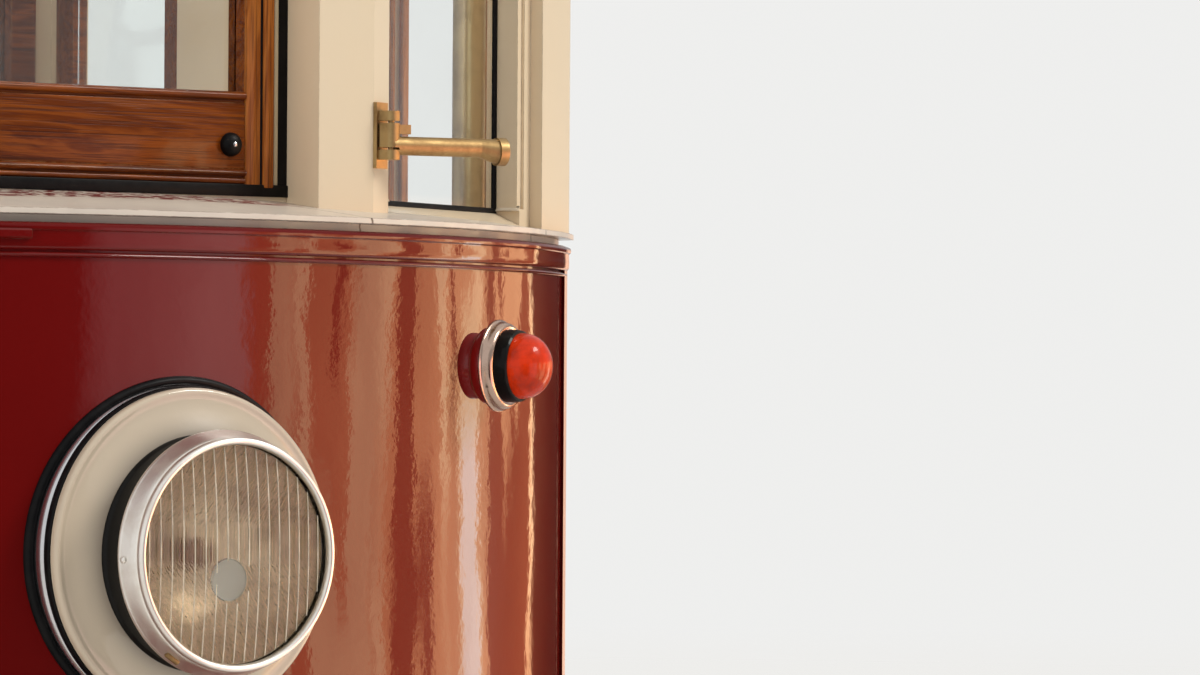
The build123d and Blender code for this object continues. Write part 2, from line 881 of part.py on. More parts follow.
def headlight_bezel():
    """Chromed ring that clips over the drum and holds the glass."""
    front = plate_rim_front - bezel_proud
    back = front + bezel_depth
    profile = [(drum_radius, back), (bezel_radius, back), (bezel_radius, back - 12),
               (bezel_front_radius, front), (bezel_front_radius - 6, front - 3),
               (bezel_front_radius - bezel_lip, front + 8),
               (bezel_front_radius - bezel_lip, front + 20), (drum_radius, front + 20)]
    return turned(profile, 0, nose_y, headlight_z)


def domed_disc(radius, back, edge, top):
    """Round disc about the Y axis with a flat back, a straight edge and a spherical front."""
    height = abs(top - edge)
    out = 1 if top > edge else -1
    sphere = (radius**2 + height**2) / (2 * height)
    centre = top - out * sphere
    middle = radius / 2
    edges = [
        Line((0, back, 0), (radius, back, 0)),
        Line((radius, back, 0), (radius, edge, 0)),
        ThreePointArc((radius, edge, 0),
                      (middle, centre + out * sqrt(sphere**2 - middle**2), 0), (0, top, 0)),
        Line((0, top, 0), (0, back, 0)),
    ]
    return revolve(make_face(edges), Axis.Y)


def headlight_glass():
    """Slightly domed lens behind the bezel's lip."""
    edge = plate_rim_front - bezel_proud + lens_dome + 4
    radius = bezel_front_radius - bezel_lip
    disc = domed_disc(radius, edge + lens_edge, edge, edge - lens_dome)
    return Pos(0, nose_y, headlight_z) * disc


# Marker lamps, square to the dash's curve on both sides
def marker_place():
    """Frame of the right-hand marker lamp: y points out of the dash."""
    angle = asin(marker_x / dash_radius)
    x = dash_radius * sin(angle)
    y = arc_centre_y - dash_radius * cos(angle)
    return Pos(x, y, marker_z) * Rot(0, 0, 180 + degrees(angle))


def marker_lamp():
    """Painted cup and stepped chrome ring of one marker lamp."""
    cup, ring = marker_cup_length, marker_ring_length
    profile = [(0, -6), (marker_cup_radius, -6), (marker_cup_radius, cup),
               (marker_ring_radius, cup), (marker_ring_radius, cup + ring / 2),
               (marker_ring_radius - 6, cup + ring / 2), (marker_ring_radius - 6, cup + ring),
               (marker_lens_radius, cup + ring), (marker_lens_radius, cup + 4), (0, cup + 4)]
    lamp = marker_place() * turned(profile, 0, 0, 0)
    return lamp - end_plan(0, post_back, dash_bottom, dash_top)


def marker_lens():
    """Domed lens of one marker lamp."""
    foot = marker_cup_length + 4
    top = foot + marker_lens_length
    return marker_place() * domed_disc(marker_lens_radius, foot, top - marker_lens_dome, top)


def mirror_arm():
    """Brass mirror arm on its hinge, on the stile of the right-hand corner window."""
    x, y, z = mirror_pivot_x, mirror_pivot_y, mirror_z
    half = mirror_knuckle / 2
    plate = block(x - mirror_plate_width / 2, x + mirror_plate_width / 2, -mirror_plate, 0,
                  z - mirror_plate_height / 2, z + mirror_plate_height / 2)
    hinge = rod_z(x, y, z - half - mirror_lug_gap - mirror_lug, z + half + mirror_lug_gap + mirror_lug,
                  mirror_pin_radius)
    for foot in (half + mirror_lug_gap, -half - mirror_lug_gap - mirror_lug):
        low, high = z + foot, z + foot + mirror_lug
        hinge += rod_z(x, y, low, high, mirror_lug_radius)
        hinge += block(x - mirror_lug_radius, x + mirror_lug_radius, y, -mirror_plate + 1, low, high)
    hinge += rod_z(x, y, z - half, z + half, mirror_lug_radius)
    hinge += block(x - mirror_lug_radius, x + mirror_lug_radius, y, y + mirror_lug_radius,
                   z - half, z + half)
    flare_x = mirror_arm_length - mirror_flare
    narrow = Plane(origin=(flare_x, 0, 0), z_dir=(1, 0, 0)) * Circle(mirror_arm_radius)
    wide = Plane(origin=(mirror_arm_length, 0, -mirror_cap_drop), z_dir=(1, 0, 0)) * Circle(
        mirror_cap_radius - 2)
    arm = rod_x(0, flare_x + 1, 0, 0, mirror_arm_radius) + loft([narrow, wide])
    arm += rod_x(mirror_arm_length - 1, mirror_arm_length + mirror_cap, 0, -mirror_cap_drop,
                 mirror_cap_radius)
    swing = mirror_arm_angle - degrees(facet_angle)
    arm = Pos(x, y, z - mirror_arm_drop) * Rot(0, 0, swing) * arm
    lever = side_prism([(-4, 2), (4, 2), (4, 14), (-4, 14)], 0, 26)
    lever = Pos(x, y, z) * Rot(0, 0, swing) * lever
    arm -= rod_z(x, y, z - half - mirror_lug_gap, z - half, mirror_lug_radius + 2)
    return facet * (plate + hinge + arm + lever)


def bumper():
    """Timber bumper beam bent round the nose under the dash."""
    z0 = dash_bottom - bumper_height
    outer = end_plan(-bumper_proud, post_back, z0, dash_bottom)
    inner = end_plan(bumper_depth - bumper_proud, post_back + 1, z0 - 1, dash_bottom + 1)
    behind = block(-body_width, body_width, nose_y + corner_back - 30, 0, z0 - 1, dash_bottom + 1)
    return outer - inner - behind


def coupler():
    """Backing plate, drawbar and flared coupler mouth."""
    z = dash_bottom - bumper_height / 2
    front = nose_y - bumper_proud
    half = coupler_plate_width / 2
    tall = coupler_plate_height / 2
    plate = block(-half, half, front - coupler_plate, front + 70, z - tall, z + tall)
    plate -= bumper()
    neck = block(-45, 45, front - coupler_reach + 60, front, z - 40, z + 40)
    narrow = Pos(0, front - coupler_reach + 100, z) * (Plane.XZ * RectangleRounded(110, 80, 10))
    mouth = Pos(0, front - coupler_reach, z) * (
        Plane.XZ * RectangleRounded(coupler_mouth_width, coupler_mouth_height, 30))
    horn = loft([narrow, mouth])
    slot = block(-coupler_mouth_width / 2 + 35, coupler_mouth_width / 2 - 35,
                 front - coupler_reach - 1, front - coupler_reach + 70, z - 22, z + 22)
    pin_y = front - coupler_reach + 38
    boss_half = coupler_mouth_height / 2
    boss = rod_z(0, pin_y, z - boss_half, z + boss_half, coupling_pin_radius + 16)
    bore = rod_z(0, pin_y, z - boss_half - 1, z + boss_half + 1, coupling_pin_radius)
    return plate + neck + horn + boss - slot - bore


def bearers():
    """Platform bearers from the saloon's underframe to behind the bumper."""
    inner = end_plan(bumper_depth - bumper_proud, platform_length, bearer_top - bearer_height,
                     bearer_top)
    rail = block(bearer_x - bearer_width / 2, bearer_x + bearer_width / 2, nose_y,
                 -saloon_half + 600, bearer_top - bearer_height, bearer_top)
    keep = inner + block(-body_half, body_half, -saloon_half, 0, 0, bearer_top)
    pair = [piece & keep for piece in mirrored(rail)]
    z0, z1 = bearer_top - bearer_height, bearer_top
    cross = [block(-sole_bar_x, sole_bar_x, y, y + 60, z0, z1)
             for y in (-saloon_half, -saloon_half + 540)]
    cross.append(block(-bearer_x, bearer_x, nose_y + 600, nose_y + 660, z0, z1))
    return one(pair + cross)


def underframe():
    """Sole bars, cross members and both platforms' bearers."""
    outer = sole_bar_x + sole_bar_width
    pieces = [block(side * sole_bar_x, side * outer, -saloon_half, saloon_half,
                    frame_top, floor_underside) for side in (1, -1)]
    for y in (-saloon_half, -700, 0, 700, saloon_half - 80):
        pieces.append(block(-outer, outer, y, y + 80, frame_top + 20, floor_underside))
    front = bearers()
    pieces += [front, Rot(0, 0, 180) * front]
    return one(pieces)


def truck_plate():
    """Right-hand side plate of the truck with horns round the axle boxes."""
    end = axle_y + frame_end_overhang
    body = block(frame_plate_x, frame_plate_x + frame_plate, -end, end, frame_bottom, frame_top)
    for y in (-axle_y, axle_y):
        half = axle_box_width / 2 + horn_width
        shoulder = horn_bottom + horn_foot
        outline = [(y - half - horn_taper, frame_bottom), (y - half, shoulder), (y - half, horn_bottom),
                   (y + half, horn_bottom), (y + half, shoulder), (y + half + horn_taper, frame_bottom)]
        body += side_prism(outline, frame_plate_x, frame_plate_x + frame_plate)
        slot = axle_box_width / 2 + running_fit
        body -= block(frame_plate_x - 1, frame_plate_x + frame_plate + 1, y - slot, y + slot,
                      horn_bottom - 1, axle_z + axle_box_height / 2 + 20)
        for side in (-1, 1):
            seat = y + side * (spring_half_length - 30)
            bracket = block(frame_plate_x + frame_plate, frame_plate_x + frame_plate + spring_width + 12,
                            seat - 30, seat + 30, axle_z + axle_box_height / 2 + 80, frame_top)
            body += bracket - spring_bore(y, running_fit)
    return body


def spring_bore(y, grow):
    """Cylinder along X that the top leaf's upper face lies on, grown by a clearance."""
    top_radius = spring_radius - spring_leaves * spring_leaf
    centre_z = axle_z + axle_box_height / 2 + spring_radius
    shell = rod_x(frame_plate_x - 50, axle_box_outer_x + 50, y, centre_z, spring_radius + 50)
    return shell - rod_x(frame_plate_x - 60, axle_box_outer_x + 60, y, centre_z, top_radius - grow)


def leaf_spring(y):
    """Stack of curved leaves over one axle box, longest on top."""
    centre_z = axle_z + axle_box_height / 2 + spring_radius
    x0 = frame_plate_x + frame_plate + 5
    x1 = x0 + spring_width
    leaves = []
    for i in range(spring_leaves):
        share = i / (spring_leaves - 1)
        half = spring_short_half + (spring_half_length - spring_short_half) * share
        outer = spring_radius - i * spring_leaf
        inner = outer - spring_leaf
        o_end = (y + half, centre_z - sqrt(outer**2 - half**2))
        i_end = (y + half, centre_z - sqrt(inner**2 - half**2))
        edges = [
            ThreePointArc((0, 2 * y - o_end[0], o_end[1]), (0, y, centre_z - outer), (0, *o_end)),
            Line((0, *o_end), (0, *i_end)),
            ThreePointArc((0, *i_end), (0, y, centre_z - inner), (0, 2 * y - i_end[0], i_end[1])),
            Line((0, 2 * y - i_end[0], i_end[1]), (0, 2 * y - o_end[0], o_end[1])),
        ]
        leaves.append(Pos(x0, 0, 0) * extrude(make_face(edges), x1 - x0, dir=(1, 0, 0)))
    return one(leaves)


def axle_box(y):
    """Right-hand axle box with its bored journal bearing and front cover."""
    half = axle_box_width / 2
    tall = axle_box_height / 2
    body = block(axle_box_inner_x, axle_box_outer_x, y - half, y + half, axle_z - tall, axle_z + tall)
    cover = rod_x(axle_box_outer_x, axle_box_outer_x + 18, y, axle_z - 10, half - 25)
    bore = rod_x(axle_box_inner_x - 1, axle_box_outer_x - 15, y, axle_z, journal_radius + running_fit)
    return body + cover - bore


def truck():
    """Both side plates, the transoms that join them and the end beams."""
    inner = frame_plate_x
    end = axle_y + frame_end_overhang
    pieces = mirrored(truck_plate())
    for side in (-1, 1):
        y = side * transom_y
        foot = frame_bottom + transom_lift
        pieces.append(block(-inner, inner, y - transom / 2, y + transom / 2, foot, foot + transom))
        foot = frame_bottom + end_beam_lift
        pieces.append(block(-inner, inner, side * (end - end_beam), side * end,
                            foot, foot + end_beam_height))
    return one(pieces)


def brake_gear():
    """Brake shoes of the front axle on their cross rod, hung from the truck's end beam."""
    beam_y = -(axle_y + frame_end_overhang - end_beam)
    rod_y_place = -(axle_y + tread_radius + shoe_gap + brake_rod_back)
    shoe_x0 = wheel_back_x + flange_width + shoe_face_inset
    shoe_x1 = wheel_face_x - shoe_outer_inset
    inner = tread_radius + shoe_gap
    outer = inner + shoe_thickness
    reach = radians(shoe_half_angle)

    def rim(radius, angle):
        return 0, -axle_y - radius * cos(angle), axle_z + radius * sin(angle)

    edges = [
        ThreePointArc(rim(inner, -reach), rim(inner, 0), rim(inner, reach)),
        Line(rim(inner, reach), rim(outer, reach)),
        ThreePointArc(rim(outer, reach), rim(outer, 0), rim(outer, -reach)),
        Line(rim(outer, -reach), rim(inner, -reach)),
    ]
    shoe = Pos(shoe_x0, 0, 0) * extrude(make_face(edges), shoe_x1 - shoe_x0, dir=(1, 0, 0))
    middle = (shoe_x0 + shoe_x1) / 2
    half = brake_hanger / 2
    eye_z = frame_bottom + end_beam_lift + end_beam_height / 2
    eye_y = beam_y + brake_lug_reach / 2
    holder = side_prism([(-axle_y - outer + 2, axle_z - 30), (-axle_y - outer + 2, axle_z + 30),
                         (rod_y_place, axle_z + brake_rod_radius),
                         (rod_y_place, axle_z - brake_rod_radius)], middle - half, middle + half)
    hanger = side_prism([(rod_y_place - brake_rod_radius, axle_z), (rod_y_place + brake_rod_radius, axle_z),
                         (eye_y + brake_rod_radius, eye_z), (eye_y - brake_rod_radius, eye_z)],
                        middle - half, middle + half)
    lug = block(middle - brake_lug / 2, middle + brake_lug / 2, beam_y, beam_y + brake_lug_reach,
                eye_z - brake_lug_height / 2, eye_z + brake_lug_height / 2)
    rod = rod_x(-middle - half, middle + half, rod_y_place, axle_z, brake_rod_radius)
    return one([rod] + mirrored(one([shoe, holder, hanger, lug])))


def motor(side):
    """Traction motor, its suspension bearings round the axle and its nose on the transom."""
    near = transom_y + transom / 2
    far = axle_y - axle_radius - 45
    half = motor_width / 2
    body = block(-half, half, near, far, axle_z - motor_drop, axle_z - motor_drop + motor_height)
    bearing = motor_bearing_radius
    across = motor_bearing_width / 2
    for x in (-half + 60, half - 60):
        body += block(x - across, x + across, far - 1, axle_y, axle_z - bearing, axle_z + bearing)
        body += rod_x(x - across, x + across, axle_y, axle_z, bearing)
    body -= rod_x(-half - 1, half + 1, axle_y, axle_z, axle_radius + running_fit)
    return body if side > 0 else Rot(0, 0, 180) * body


def wheelset(y):
    """Axle with two dished wheels and their flanged tyres."""
    end = axle_box_outer_x - 15 - running_fit
    axle = rod_x(-wheel_face_x - 20, wheel_face_x + 20, y, axle_z, axle_radius)
    axle += rod_x(-end, end, y, axle_z, journal_radius)
    back, face = wheel_back_x, wheel_face_x
    rim_inner = tread_radius - tyre_thickness
    rim_mid = (back + face) / 2
    hub_mid = rim_mid - 18
    profile = [
        (back, rim_inner), (back, flange_radius - 6), (back + 8, flange_radius),
        (back + flange_width - 12, flange_radius - 4), (back + flange_width, tread_radius),
        (face - 6, tread_radius - 3), (face, tread_radius - 9), (face, rim_inner),
        (rim_mid + wheel_web / 2, rim_inner - 12), (hub_mid + wheel_web / 2, hub_radius + 10),
        (hub_mid + hub_width / 2, hub_radius), (hub_mid + hub_width / 2, axle_radius - 1),
        (hub_mid - hub_width / 2, axle_radius - 1), (hub_mid - hub_width / 2, hub_radius),
        (hub_mid - wheel_web / 2, hub_radius + 10), (rim_mid - wheel_web / 2, rim_inner - 12),
    ]
    section = make_face(Polyline(*[(px, 0, pr) for px, pr in profile], close=True))
    wheel = Pos(0, y, axle_z) * revolve(section, Axis.X)
    return one([axle] + mirrored(wheel))


def equipment():
    """Resistor and battery boxes hung under the sole bars between the axles."""
    top = frame_top
    outer = sole_bar_x + 20
    return [block(side * 500, side * outer, y0, y1, top - 230, top)
            for side, y0, y1 in ((1, -520, 520), (-1, -520, -20), (-1, 60, 520))]


def step():
    """Entrance step hung under the platform's edge on two side plates."""
    width = entrance_width - 20
    y1 = step_depth - 60
    board = block(10, 10 + width, -60, y1, step_top - step_board, step_top)
    body = board
    for x in (10, 10 + width - hanger):
        outline = [(-60, step_top - step_board), (y1, step_top - step_board), (y1, bearer_top),
                   (60, bearer_top)]
        plate = side_prism(outline, x, x + hanger)
        body += plate
    return entrance * body


def lifeguard():
    """Slatted tray before the wheels on its hangers."""
    y0 = nose_y + guard_front
    y1 = y0 + guard_length
    pitch = (2 * guard_half_width - guard_slat_width) / (guard_slats - 1)
    pieces = [block(-guard_half_width, guard_half_width, y, y + 50, guard_top - 30, guard_top)
              for y in (y0 + 60, y1 - 110)]
    for i in range(guard_slats):
        x = -guard_half_width + i * pitch
        pieces.append(block(x, x + guard_slat_width, y0, y1, guard_top, guard_top + guard_slat))
    for x in (-bearer_x, bearer_x):
        for y in (y0 + 85, y1 - 85):
            pieces.append(rod_z(x, y, guard_top - 10, bearer_top - bearer_height, 14))
    return one(pieces)


def bench(side):
    """Longitudinal bench: seat, sloping back and front skirt."""
    inner = body_half - wall
    y0 = -saloon_half + bench_inset
    y1 = saloon_half - bench_inset
    z = saloon_floor_top
    seat_front = inner - bench_depth
    seat = block(seat_front, inner, y0, y1, z + bench_height - bench_board, z + bench_height)
    skirt = block(seat_front + 40, seat_front + 62, y0, y1, z, z + bench_height - bench_board + 1)
    back = [(inner, z + bench_height - 1), (inner - 70, z + bench_height - 1),
            (inner - 32, z + bench_back), (inner, z + bench_back)]
    rest = Pos(0, y0, 0) * (Plane.XZ * extrude(make_face(Polyline(*back, close=True)), y0 - y1))
    whole = seat + skirt + rest
    pitch = (bench_depth - 70) / bench_slats
    for i in range(1, bench_slats):
        x = seat_front + i * pitch
        whole -= block(x, x + bench_slat_groove, y0 - 1, y1 + 1,
                       z + bench_height - bench_groove_depth, z + bench_height + 1)
    return whole if side > 0 else mirror(whole, about=Plane.YZ)


def controller():
    """Driver's controller: rounded case, cap and handle."""
    x, y, z = controller_x, nose_y + controller_back, platform_floor_top
    case = rod_z(x, y, z, z + controller_height, controller_radius)
    case += block(x - controller_radius, x + controller_radius, y, y + controller_radius, z,
                  z + controller_height)
    cap = rod_z(x, y, z + controller_height, z + controller_height + 30, controller_radius - 25)
    spindle = rod_z(x, y, z + controller_height, z + controller_height + 70, 16)
    lever = bar((x, y, z + controller_height + 60), (x + 150, y + 40, z + controller_height + 60), 11)
    knob = rod_z(x + 150, y + 40, z + controller_height + 50, z + controller_height + 130, 16)
    return case + cap + spindle + lever + knob


def brake_column():
    """Hand brake pedestal with its wheel."""
    x, y, z = brake_column_x, nose_y + brake_column_back, platform_floor_top
    foot = rod_z(x, y, z, z + 40, 85)
    post = rod_z(x, y, z, z + brake_column_height, 26)
    hub = rod_z(x, y, z + brake_column_height - 20, z + brake_column_height + 30, 40)
    wheel_z = z + brake_column_height + 5
    section = Plane.XZ * Pos(brake_wheel_radius, 0) * RegularPolygon(brake_wheel_rim, 8)
    rim = Pos(x, y, wheel_z) * revolve(section, Axis.Z)
    spokes = one([bar((x, y, wheel_z),
                      (x + brake_wheel_radius * cos(a), y + brake_wheel_radius * sin(a), wheel_z), 9)
                  for a in [radians(i * 90) for i in range(4)]])
    return foot + post + hub + spokes + rim


def grab_pole(along, inwards, radius, bracket_along):
    """Upright pole on two brackets to the side's face, at a place in the entrance's frame."""
    pole = rod_z(along, inwards, pole_foot, pole_head, radius)
    for z in (pole_foot + pole_bracket_inset, pole_head - pole_bracket_inset):
        pole += bar((along, inwards, z), (bracket_along, wall / 2, z), pole_bracket_radius)
    return entrance * pole - dash() - end_body - platform_side()


def collector_base():
    """Roof planks, cross frame and bearings of the current collector."""
    half = collector_plank_length / 2
    planks = [block(side * collector_plank_x, side * (collector_plank_x + collector_plank_width),
                    -half, half, cantrail + roof_rise - 120, collector_plank_top)
              for side in (1, -1)]
    body = one(planks)
    for y in (-420, 340):
        body += block(-collector_plank_x - collector_plank_width, collector_plank_x + collector_plank_width,
                      y, y + 80, collector_plank_top - 30, collector_plank_top)
    body -= roof_filled(0, cantrail)
    for side in (1, -1):
        x0 = side * (collector_half_width - 25)
        x1 = side * (collector_half_width + 5)
        ear = block(x0, x1, -60, 60, collector_plank_top - 20, collector_axis_z)
        ear += rod_x(x0, x1, 0, collector_axis_z, 60)
        body += ear
        body -= rod_x(x0 - side, x1 + side, 0, collector_axis_z, collector_tube + running_fit)
    body += block(-collector_rest_half, collector_rest_half, half - 80, half,
                  collector_plank_top - 40, collector_plank_top)
    rest_y = half - 40
    rest_top = collector_axis_z + rest_y * tan(radians(collector_low_angle)) - collector_tube - rest_gap
    for side in (1, -1):
        body += block(side * (collector_rest_half - 60), side * collector_rest_half, half - 60,
                      half - 20, collector_plank_top - 1, rest_top - 16)
    body += block(-collector_rest_half, collector_rest_half, half - 60, half - 20,
                  rest_top - 16, rest_top)
    return body


def collector_bow():
    """Bow of tubes with its contact bar, turned up to its working angle."""
    shaft = collector_half_width + 15
    top = collector_length
    body = rod_x(-shaft, shaft, 0, 0, collector_tube)
    arms = [bar((side * (collector_half_width - 90), 0, 0), (side * collector_bar_half, 0, top - 130),
                collector_tube) for side in (1, -1)]
    braces = [bar((side * (collector_half_width - 90), 0, 0), (0, 0, collector_tie),
                  collector_brace) for side in (1, -1)]
    tie = rod_x(-collector_half_width, collector_half_width, 0, collector_tie, collector_tube - 5)
    contact = rod_x(-collector_bar_half, collector_bar_half, 0, top, collector_bar)
    horns = [bar((side * collector_bar_half, 0, top - 130), (side * (collector_bar_half - 40), 0, top),
                 collector_tube) for side in (1, -1)]
    body = one([body, tie, contact] + arms + braces + horns)
    return Pos(0, 0, collector_axis_z) * Rot(collector_rest_angle - 90, 0, 0) * body


# Nodes of the body, each a list of solids
end_body = end_wall_body()
sill = end_sill(end_body)
saloon_side = side_wall_saloon()
lower_side = side_panel()
sashes = [centre_sash()] + mirrored(quarter_sash())
saloon_sashes = [piece for y in window_starts() for piece in mirrored(saloon_sash(y))]
panes = [centre_pane()] + mirrored(corner_pane()) + mirrored(quarter_pane()) + bulkhead_panes()
saloon_panes = [piece for y in window_starts() for light in saloon_pair(y) for piece in mirrored(light)]
tracks = [piece for track in door_tracks() for piece in mirrored(track)]
poles = [
    grab_pole(inner_pole_along, inner_pole_inwards, inner_pole_radius, -corner_post_depth / 2),
    grab_pole(entrance_width + outer_pole_along, -pole_offset, pole_radius,
              entrance_width + outer_pole_along),
]

nodes = {
    "underframe": [underframe()],
    "saloon_floor": [saloon_floor()],
    "platform_floors": both_ends([platform_floor() + riser()]),
    "right_side_panel": [lower_side],
    "left_side_panel": [mirror(lower_side, about=Plane.YZ)],
    "right_window_wall": [saloon_side],
    "left_window_wall": [mirror(saloon_side, about=Plane.YZ)],
    "platform_sides": both_ends(mirrored(platform_side())),
    "front_dash": [dash()],
    "rear_dash": [Rot(0, 0, 180) * dash()],
    "front_window_wall": [end_body],
    "rear_window_wall": [Rot(0, 0, 180) * end_body],
    "end_sills": both_ends([sill]),
    "window_sashes": both_ends(sashes) + saloon_sashes,
    "window_glass": both_ends(panes) + saloon_panes,
    "front_bulkhead": [bulkhead_wall()],
    "rear_bulkhead": [Rot(0, 0, 180) * bulkhead_wall()],
    "door_tracks": both_ends(tracks),
    "roof": [roof()],
    "collector_base": [collector_base()],
    "benches": [bench(1), bench(-1)],
    "controllers": both_ends([controller()]),
    "brake_columns": both_ends([brake_column()]),
    "grab_poles": both_ends([piece for pole in poles for piece in mirrored(pole)]),
    "headlight_gaskets": both_ends([headlight_gasket()]),
    "headlight_plates": both_ends([headlight_plate()]),
    "headlight_drums": both_ends([headlight_drum()]),
    "headlight_bezels": both_ends([headlight_bezel()]),
    "headlight_glasses": both_ends([headlight_glass()]),
    "marker_lamps": both_ends(mirrored(marker_lamp())),
    "marker_lenses": both_ends(mirrored(marker_lens())),
    "mirror_arms": both_ends([mirror_arm()]),
    "bumpers": both_ends([bumper()]),
    "couplers": both_ends([coupler()]),
    "steps": both_ends(mirrored(step())),
    "lifeguards": both_ends([lifeguard()]),
    "truck_frame": [truck()],
    "brake_gear": both_ends([brake_gear()]),
    "axle_boxes": [piece for y in (-axle_y, axle_y) for piece in mirrored(axle_box(y))],
    "leaf_springs": [piece for y in (-axle_y, axle_y) for piece in mirrored(leaf_spring(y))],
    "motors": [motor(1), motor(-1)],
    "equipment_boxes": equipment(),
    "front_wheelset": [wheelset(-axle_y)],
    "rear_wheelset": [wheelset(axle_y)],
    "front_bulkhead_door": [bulkhead_door()],
    "rear_bulkhead_door": [Rot(0, 0, 180) * bulkhead_door()],
    "collector_bow": [collector_bow()],
}

# Folding doors: end, side, turn of the front end's door and whether it is the mirror image
door_places = [
    ("front_right", 0, False),
    ("front_left", 0, True),
    ("rear_left", 180, False),
    ("rear_right", 180, True),
]
for place, turn, flipped in door_places:
    for kind, piece in (("inner", hinged_leaf()), ("outer", guided_leaf())):
        leaf_piece = entrance * piece
        if flipped:
            leaf_piece = mirror(leaf_piece, about=Plane.YZ)
        nodes[f"{place}_door_{kind}_leaf"] = [Rot(0, 0, turn) * leaf_piece]

os.makedirs("parts", exist_ok=True)
for name, shapes in nodes.items():
    pieces = solids(shapes)
    export_step(Compound(children=pieces) if len(pieces) > 1 else pieces[0], f"parts/{name}.step")
    print(name, len(pieces))
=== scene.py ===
"""Looks of a double-ended two-axle city tram: finishes, fine pieces, light and camera.

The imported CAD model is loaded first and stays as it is. Every length is in metres in the car's own frame:
X across, Y along, Z up, with the front end towards -Y. Only profiles are written in millimetres, by mm().
"""

import logging
import math
from dataclasses import dataclass
from enum import Enum
from typing import Callable, Iterable, Optional, Sequence, Union

import bmesh
import bpy
from mathutils import Matrix, Vector


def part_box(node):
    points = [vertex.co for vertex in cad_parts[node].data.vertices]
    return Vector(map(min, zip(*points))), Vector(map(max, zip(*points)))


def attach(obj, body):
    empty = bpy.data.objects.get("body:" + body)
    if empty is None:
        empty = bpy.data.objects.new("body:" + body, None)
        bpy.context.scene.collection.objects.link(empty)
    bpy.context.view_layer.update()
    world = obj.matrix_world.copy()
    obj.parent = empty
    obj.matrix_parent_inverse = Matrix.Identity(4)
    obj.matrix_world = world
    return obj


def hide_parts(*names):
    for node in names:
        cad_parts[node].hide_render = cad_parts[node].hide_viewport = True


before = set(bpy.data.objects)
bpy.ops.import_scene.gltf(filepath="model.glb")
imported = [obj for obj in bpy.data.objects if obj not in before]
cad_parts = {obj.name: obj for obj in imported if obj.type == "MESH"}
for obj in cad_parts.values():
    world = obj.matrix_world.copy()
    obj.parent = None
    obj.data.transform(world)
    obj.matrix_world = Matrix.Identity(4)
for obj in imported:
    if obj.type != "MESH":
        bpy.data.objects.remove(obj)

log = logging.getLogger("tram")

Colour = tuple[float, float, float]
Point = tuple[float, float, float]
Profile = list[tuple[float, float]]
Socket = Union[bpy.types.NodeSocket, "Value", float, Colour]
Values = dict[str, "Value"]

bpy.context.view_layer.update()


class End(Enum):
    """The two ends of the car, with the turn about Z that brings a front piece there."""

    FRONT = 0.0
    REAR = math.pi

    @property
    def turn(self) -> Matrix:
        """Rotation from the front end to this one."""
        return Matrix.Rotation(self.value, 4, "Z")


class Side(Enum):
    """The two sides of the car, as the sign of X at the front end."""

    RIGHT = 1.0
    LEFT = -1.0


BODY = "car_body"
STILL = Matrix()
MIRROR = Matrix.Diagonal((-1.0, 1.0, 1.0, 1.0))
BOTH = (STILL, MIRROR)
FACING = Matrix.Rotation(math.pi / 2, 4, "X")
BACKING = Matrix.Rotation(math.pi, 4, "Z") @ FACING
ENDS = tuple(end.turn for end in End)
QUARTERS = tuple(end @ flip for end in ENDS for flip in BOTH)
SIGNS = (-1.0, 1.0)


# Shader graphs


class Value:
    """An output of a shader graph that plain arithmetic works on."""

    def __init__(self, graph: "Graph", socket: bpy.types.NodeSocket) -> None:
        """Wraps a socket.

        Args:
            graph: the graph that it belongs to.
            socket: the output.
        """
        self.graph, self.socket = graph, socket

    def __add__(self, other: Socket) -> "Value":
        """The sum."""
        return self.graph.math("ADD", self, other)

    def __sub__(self, other: Socket) -> "Value":
        """The difference."""
        return self.graph.math("SUBTRACT", self, other)

    def __rsub__(self, other: float) -> "Value":
        """What is left of a number without it."""
        return self.graph.math("SUBTRACT", other, self)

    def __mul__(self, other: Socket) -> "Value":
        """The product."""
        return self.graph.math("MULTIPLY", self, other)

    def __truediv__(self, other: Socket) -> "Value":
        """The quotient."""
        return self.graph.math("DIVIDE", self, other)

    def __abs__(self) -> "Value":
        """Its size without a sign."""
        return self.graph.math("ABSOLUTE", self)

    __radd__, __rmul__ = __add__, __mul__

    def clamped(self) -> "Value":
        """The value itself, held between 0 and 1."""
        self.socket.node.use_clamp = True
        return self

    def fract(self) -> "Value":
        """What is left of it past a whole number."""
        return self.graph.math("FRACT", self)

    def hypot(self, other: "Value") -> "Value":
        """Root of the sum of both squares."""
        return self.graph.math("SQRT", self * self + other * other)

    def span(self, low: float, high: float, to_low: float = 0.0, to_high: float = 1.0) -> "Value":
        """The value moved from one range to another, clamped."""
        ranges = {"From Min": low, "From Max": high, "To Min": to_low, "To Max": to_high}
        return Value(self.graph, self.graph.fill(self.graph.node("MapRange"), {"Value": self, **ranges}).outputs[0])


